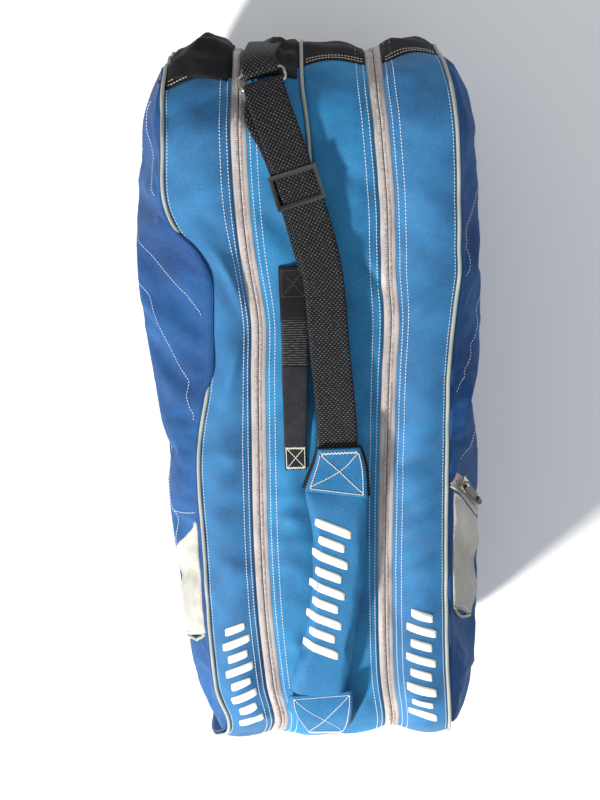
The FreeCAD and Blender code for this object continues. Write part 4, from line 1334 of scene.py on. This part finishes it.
def make_tab():
    """The trapezoid that joins webbing to pad, over a black backing, with its cross of stitches."""
    middles = [(0.0155, -0.021, 0.3042), (0.0155, -0.040, 0.3043), (0.0115, -0.068, 0.3050)]
    across = [(1.0, -0.13, 0.0)] * 3
    under = [(x, y + 0.0016, z - 0.0030) for x, y, z in middles]
    backing = Band(under, across, [0.0455, 0.0575, 0.0700], 0.002)
    backing.build("tab_backing", 0.0030, "black", "root", cols=15)
    band = Band(middles, across, [0.042, 0.052, 0.064], 0.002)
    band.build("strap_tab_cloth", 0.0034, "strap", "root", ["strap_tab"], cols=21)
    seam = Seam()
    end = float(band.at[-1])
    lift = 0.0021
    near, far, edge = 0.0055, end - 0.0030, 0.86
    band.stitch(seam, [(near, -edge), (far, -edge), (far, edge), (near, edge)], lift, 0.0026, 0.0021)
    band.stitch(seam, [(near, -0.80), (far - 0.002, edge)], lift, 0.0026, 0.0022)
    band.stitch(seam, [(near, 0.80), (far - 0.002, -edge)], lift, 0.0026, 0.0022)
    band.bar_tack(seam, near - 0.0012, -0.82, 0.82, lift, 0.0018, 0.0016)
    seam.make("tab_stitches", "root", "cream_thread", 0.0005)


def make_patch():
    """The patch that ends the padded strap over the tail corner."""
    s = -np.array([0.284, 0.298, 0.312, 0.328, 0.342])
    x = np.array([-0.0125, -0.0140, -0.0150, -0.0160, -0.0170])
    lift = np.array([0.0170, 0.0165, 0.0140, 0.0085, 0.0035])
    middles = skin(s, x, lift)
    band = Band(middles, [X_AXIS] * 5, [0.0655, 0.0640, 0.0570, 0.0490, 0.0420], 0.002)
    band.build("strap_patch_cloth", 0.0030, "strap", "root", ["strap_patch"], cols=21)
    seam = Seam()
    end = float(band.at[-1])
    lift = 0.0019
    for corners in ([(0.004, -0.9), (0.004, 0.9)], [(0.004, -0.9), (end - 0.004, -0.84)],
                    [(0.004, 0.9), (end - 0.004, 0.84)], [(0.004, -0.9), (end - 0.006, 0.8)],
                    [(0.004, 0.9), (end - 0.006, -0.8)]):
        band.stitch(seam, corners, lift, 0.0030, 0.0023)
    band.bar_tack(seam, end - 0.004, -0.8, 0.8, lift)
    band.bar_tack(seam, end - 0.0025, -0.8, 0.8, lift)
    seam.make("patch_stitches", "root", "thread", 0.00045)


def make_grab_handle():
    """A black webbing bridge in three stretches: a plain dark upper stretch of painted shade, ribbed, plush;
    and two sewn ends.
    """
    y = np.array([0.160, 0.140, 0.118, 0.085, 0.045, 0.005, -0.020, -0.046])
    x = np.array([-25, -25, -25, -25, -26, -27, -28, -28]) * MM
    lift = np.array([1.6, 1.6, 3.0, 7.0, 8.5, 6.0, 2.0, 1.6]) * MM
    width = np.array([28, 28, 27.5, 27, 26, 24, 22.5, 22]) * MM
    base = skin(y, x - wander(x, *outline(y)), 0.0)
    level = np.array([0, 0, 0.2, 0.8, 1, 0.8, 0.2, 0])
    base[:, 2] = base[:, 2] * (1 - level) + np.linspace(base[0, 2], base[-1, 2], 8) * level + lift
    band = Band(base, [X_AXIS] * 8, width, 0.002)
    cut = [0.0, 0.052, 0.098, float(band.at[-1])]
    whole = (band.middle, band.across, band.width)
    # The upper stretch is plain dark cloth with no ribs or glints: painted shade where the ribbed webbing
    # lies in shadow.
    for label, low, high, material in (("upper", cut[0], cut[1], "black"), ("ribbed", cut[1], cut[2], "rib"),
                                       ("plush", cut[2], cut[3], "plush")):
        inside = (band.at >= low - 0.0012) & (band.at <= high + 0.0012)
        part = Band(whole[0][inside], whole[1][inside], whole[2][inside], 0.002)
        part.build("grab_handle_" + label, 0.0024, material, "root", ["grab_handle"], cols=13)
    end = float(band.at[-1])
    top = 0.0014
    white = Seam()
    low, high = end - 0.0225, end - 0.0020
    for corners in ([(low, -0.84), (high, -0.84)], [(low, 0.84), (high, 0.84)], [(low, -0.8), (high, 0.8)],
                    [(low, 0.8), (high, -0.8)]):
        band.stitch(white, corners, top, 0.0024, 0.0022)
    for place in (low, high):
        band.bar_tack(white, place, -0.86, 0.86, top, 0.0016)
    white.make("handle_white_stitches", "root", "cream_thread", 0.00045)
    # Dark thread on the upper end: painted shade on the cream stitching there.
    dark = Seam()
    for corners in ([(0.004, -0.8), (0.004, 0.8), (0.030, 0.8), (0.030, -0.8), (0.004, -0.8)],
                    [(0.004, -0.8), (0.030, 0.8)], [(0.004, 0.8), (0.030, -0.8)]):
        band.stitch(dark, corners, top, 0.0026, 0.0022)
    dark.make("handle_shaded_stitches", "root", "black_thread", 0.0004)


# ---------------------------------------------------------------- plain printed marks

def bars(name, place, body, length, height, count, lean=0.30, fill=0.56, thick=0.0004):
    """A row of leaning cream bars; place turns (along, across) into points and normals."""
    vertices, faces, uv = [], [], []
    pitch = length / count
    for k in range(count):
        tall = height * (1.0 if k % 2 == 0 else 0.72)
        rows, cols = 12, 4
        v = np.linspace(-0.5, 0.5, rows)[:, None]
        u = np.linspace(0, 1, cols)[None, :]
        soft = 1 - 0.22 * np.abs(2 * v) ** 8
        along = (k + 0.5) * pitch + (u - 0.5) * pitch * fill * soft + lean * tall * v
        across = v * tall + 0 * u
        top, normal = place(along - length / 2, across)
        first = len(vertices)
        vertices += list((top + normal * thick).reshape(-1, 3)) + list((top - normal * 0.0006).reshape(-1, 3))
        uv += list(np.dstack([along, across]).reshape(-1, 2)) * 2
        faces += [tuple(f) for f in grid_faces(rows, cols, first)]
        faces += [tuple(f[::-1]) for f in grid_faces(rows, cols, first + rows * cols)]
        rim = rim_of(rows, cols)
        for here, there in zip(rim, rim[1:] + rim[:1]):
            a, b = first + there, first + here
            faces.append((a, b, b + rows * cols, a + rows * cols))
    thing = mesh_object(name, vertices, faces, "print", uv)
    face_outward(thing)
    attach(thing, body)
    return thing


def skin_place(middle_s, middle_x, turn, out=0.0):
    """Lays along/across coordinates on the bag's cloth, turned by degrees."""
    cosine, sine = math.cos(math.radians(turn)), math.sin(math.radians(turn))

    def place(along, across):
        x = middle_x + along * cosine - across * sine
        s = middle_s + along * sine + across * cosine
        return skin(s, x, out), outward(s)
    return place


def pad_place(tree, middle, turn, out=0.0):
    cosine, sine = math.cos(math.radians(turn)), math.sin(math.radians(turn))

    def place(along, across):
        x = middle[0] + along * cosine - across * sine
        y = middle[1] + along * sine + across * cosine
        flat = np.stack([x, y, 0 * x + 0.3], -1).reshape(-1, 3)
        points, normals = drape(tree, flat, out)
        return points.reshape(x.shape + (3,)), normals.reshape(x.shape + (3,))
    return place


def make_marks(pad_tree):
    bars("pad_bars", pad_place(pad_tree, (-0.0005, -0.168), 83, 0.0003), "root", 0.148, 0.037, 9)
    bars("left_bars", skin_place(-0.270, -0.103, 90, 0.0003), "left_cover", 0.122, 0.034, 8, lean=-0.30)
    bars("right_bars", skin_place(-0.266, 0.104, 88, 0.0003), "right_cover", 0.132, 0.034, 8)


# ---------------------------------------------------------------- CAD parts that stay

def finish_cad_parts():
    """Rounded edges and real materials for the hard parts that keep their CAD shape."""
    finishes = {
        "metal": ["left_zip_slider", "right_zip_slider", "pocket_slider", "strap_ring",
                  "left_zip_stops", "right_zip_stops"],
        "plastic": ["left_zip_pull", "right_zip_pull", "pocket_pull", "pocket_pull_knob", "strap_adjuster"],
    }
    widths = {"strap_adjuster": 0.0012, "strap_ring": 0.0, "pocket_pull_knob": 0.0005}
    for finish, names in finishes.items():
        for name in names:
            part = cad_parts[name]
            part.data.materials.clear()
            part.data.materials.append(PAINT[finish])
            width = widths.get(name, 0.00025)
            if width:
                bevel = part.modifiers.new("soft_edge", "BEVEL")
                bevel.width = width
                bevel.segments = 3
                bevel.limit_method = "ANGLE"
                bevel.angle_limit = math.radians(35)
            for polygon in part.data.polygons:
                polygon.use_smooth = True
            smooth = part.modifiers.new("flat_faces", "WEIGHTED_NORMAL")
            smooth.keep_sharp = True


# ---------------------------------------------------------------- floor, light and camera

def make_floor():
    half, level = 3.0, -0.0015
    vertices = [(-half, -half, level), (half, -half, level), (half, half, level), (-half, half, level)]
    mesh = bpy.data.meshes.new("floor")
    mesh.from_pydata(vertices, [], [(0, 1, 2, 3)])
    paint = Paint("pale_floor")
    vector = paint.object_place()
    mottled = paint.noise(3, 3, vector)
    color = paint.mix(mottled, srgb(246, 246, 246), srgb(252, 252, 252))
    paint.finish(color, 0.9, paint.bump(paint.noise(90, 2, vector), 0.0004, 0.2), specular=0.2)
    mesh.materials.append(paint.material)
    floor = bpy.data.objects.new("floor", mesh)
    SCENE.collection.objects.link(floor)


def area_light(name, place, target, size, power, color=(1, 1, 1)):
    data = bpy.data.lights.new(name, "AREA")
    data.shape = "DISK"
    data.size = size
    data.energy = power
    data.color = color
    light = bpy.data.objects.new(name, data)
    light.location = place
    light.rotation_euler = (Vector(target) - Vector(place)).to_track_quat("-Z", "Y").to_euler()
    SCENE.collection.objects.link(light)


def make_light():
    world = bpy.data.worlds.new("studio")
    world.use_nodes = True
    background = world.node_tree.nodes["Background"]
    background.inputs["Color"].default_value = (0.93, 0.96, 1.0, 1.0)
    background.inputs["Strength"].default_value = 0.50
    SCENE.world = world
    area_light("key", (-1.7, -1.75, 1.75), (0, 0, 0.15), 0.3, 150, (1.0, 0.97, 0.93))
    area_light("fill", (1.6, 1.4, 2.2), (0, 0, 0.1), 1.8, 12, (0.92, 0.96, 1.0))
    SCENE.view_settings.view_transform = "Standard"
    SCENE.view_settings.look = "None"


def make_camera():
    data = bpy.data.cameras.new("camera")
    data.sensor_width = 36
    data.lens = 47.07
    data.clip_start = 0.02
    data.clip_end = 20
    camera = bpy.data.objects.new("camera", data)
    turn = (Matrix.Rotation(math.radians(-10.6), 4, "X") @ Matrix.Rotation(math.radians(-0.15), 4, "Y")
            @ Matrix.Rotation(math.radians(-1.87), 4, "Z"))
    camera.matrix_world = Matrix.Translation((-0.0246, 0.2195, 1.3198)) @ turn
    SCENE.collection.objects.link(camera)
    SCENE.camera = camera


make_camera()
make_floor()
make_light()
make_gussets()
make_zips()
make_pipings()
make_base()
make_divider()
make_side("left")
right_side = make_side("right")
make_pocket(right_side)
make_shoulder_webbing()
make_anchor()
make_gathers()
make_end_stitches()
pad_tree = make_padded_strap()
make_tab()
make_patch()
make_grab_handle()
make_marks(pad_tree)
finish_cad_parts()
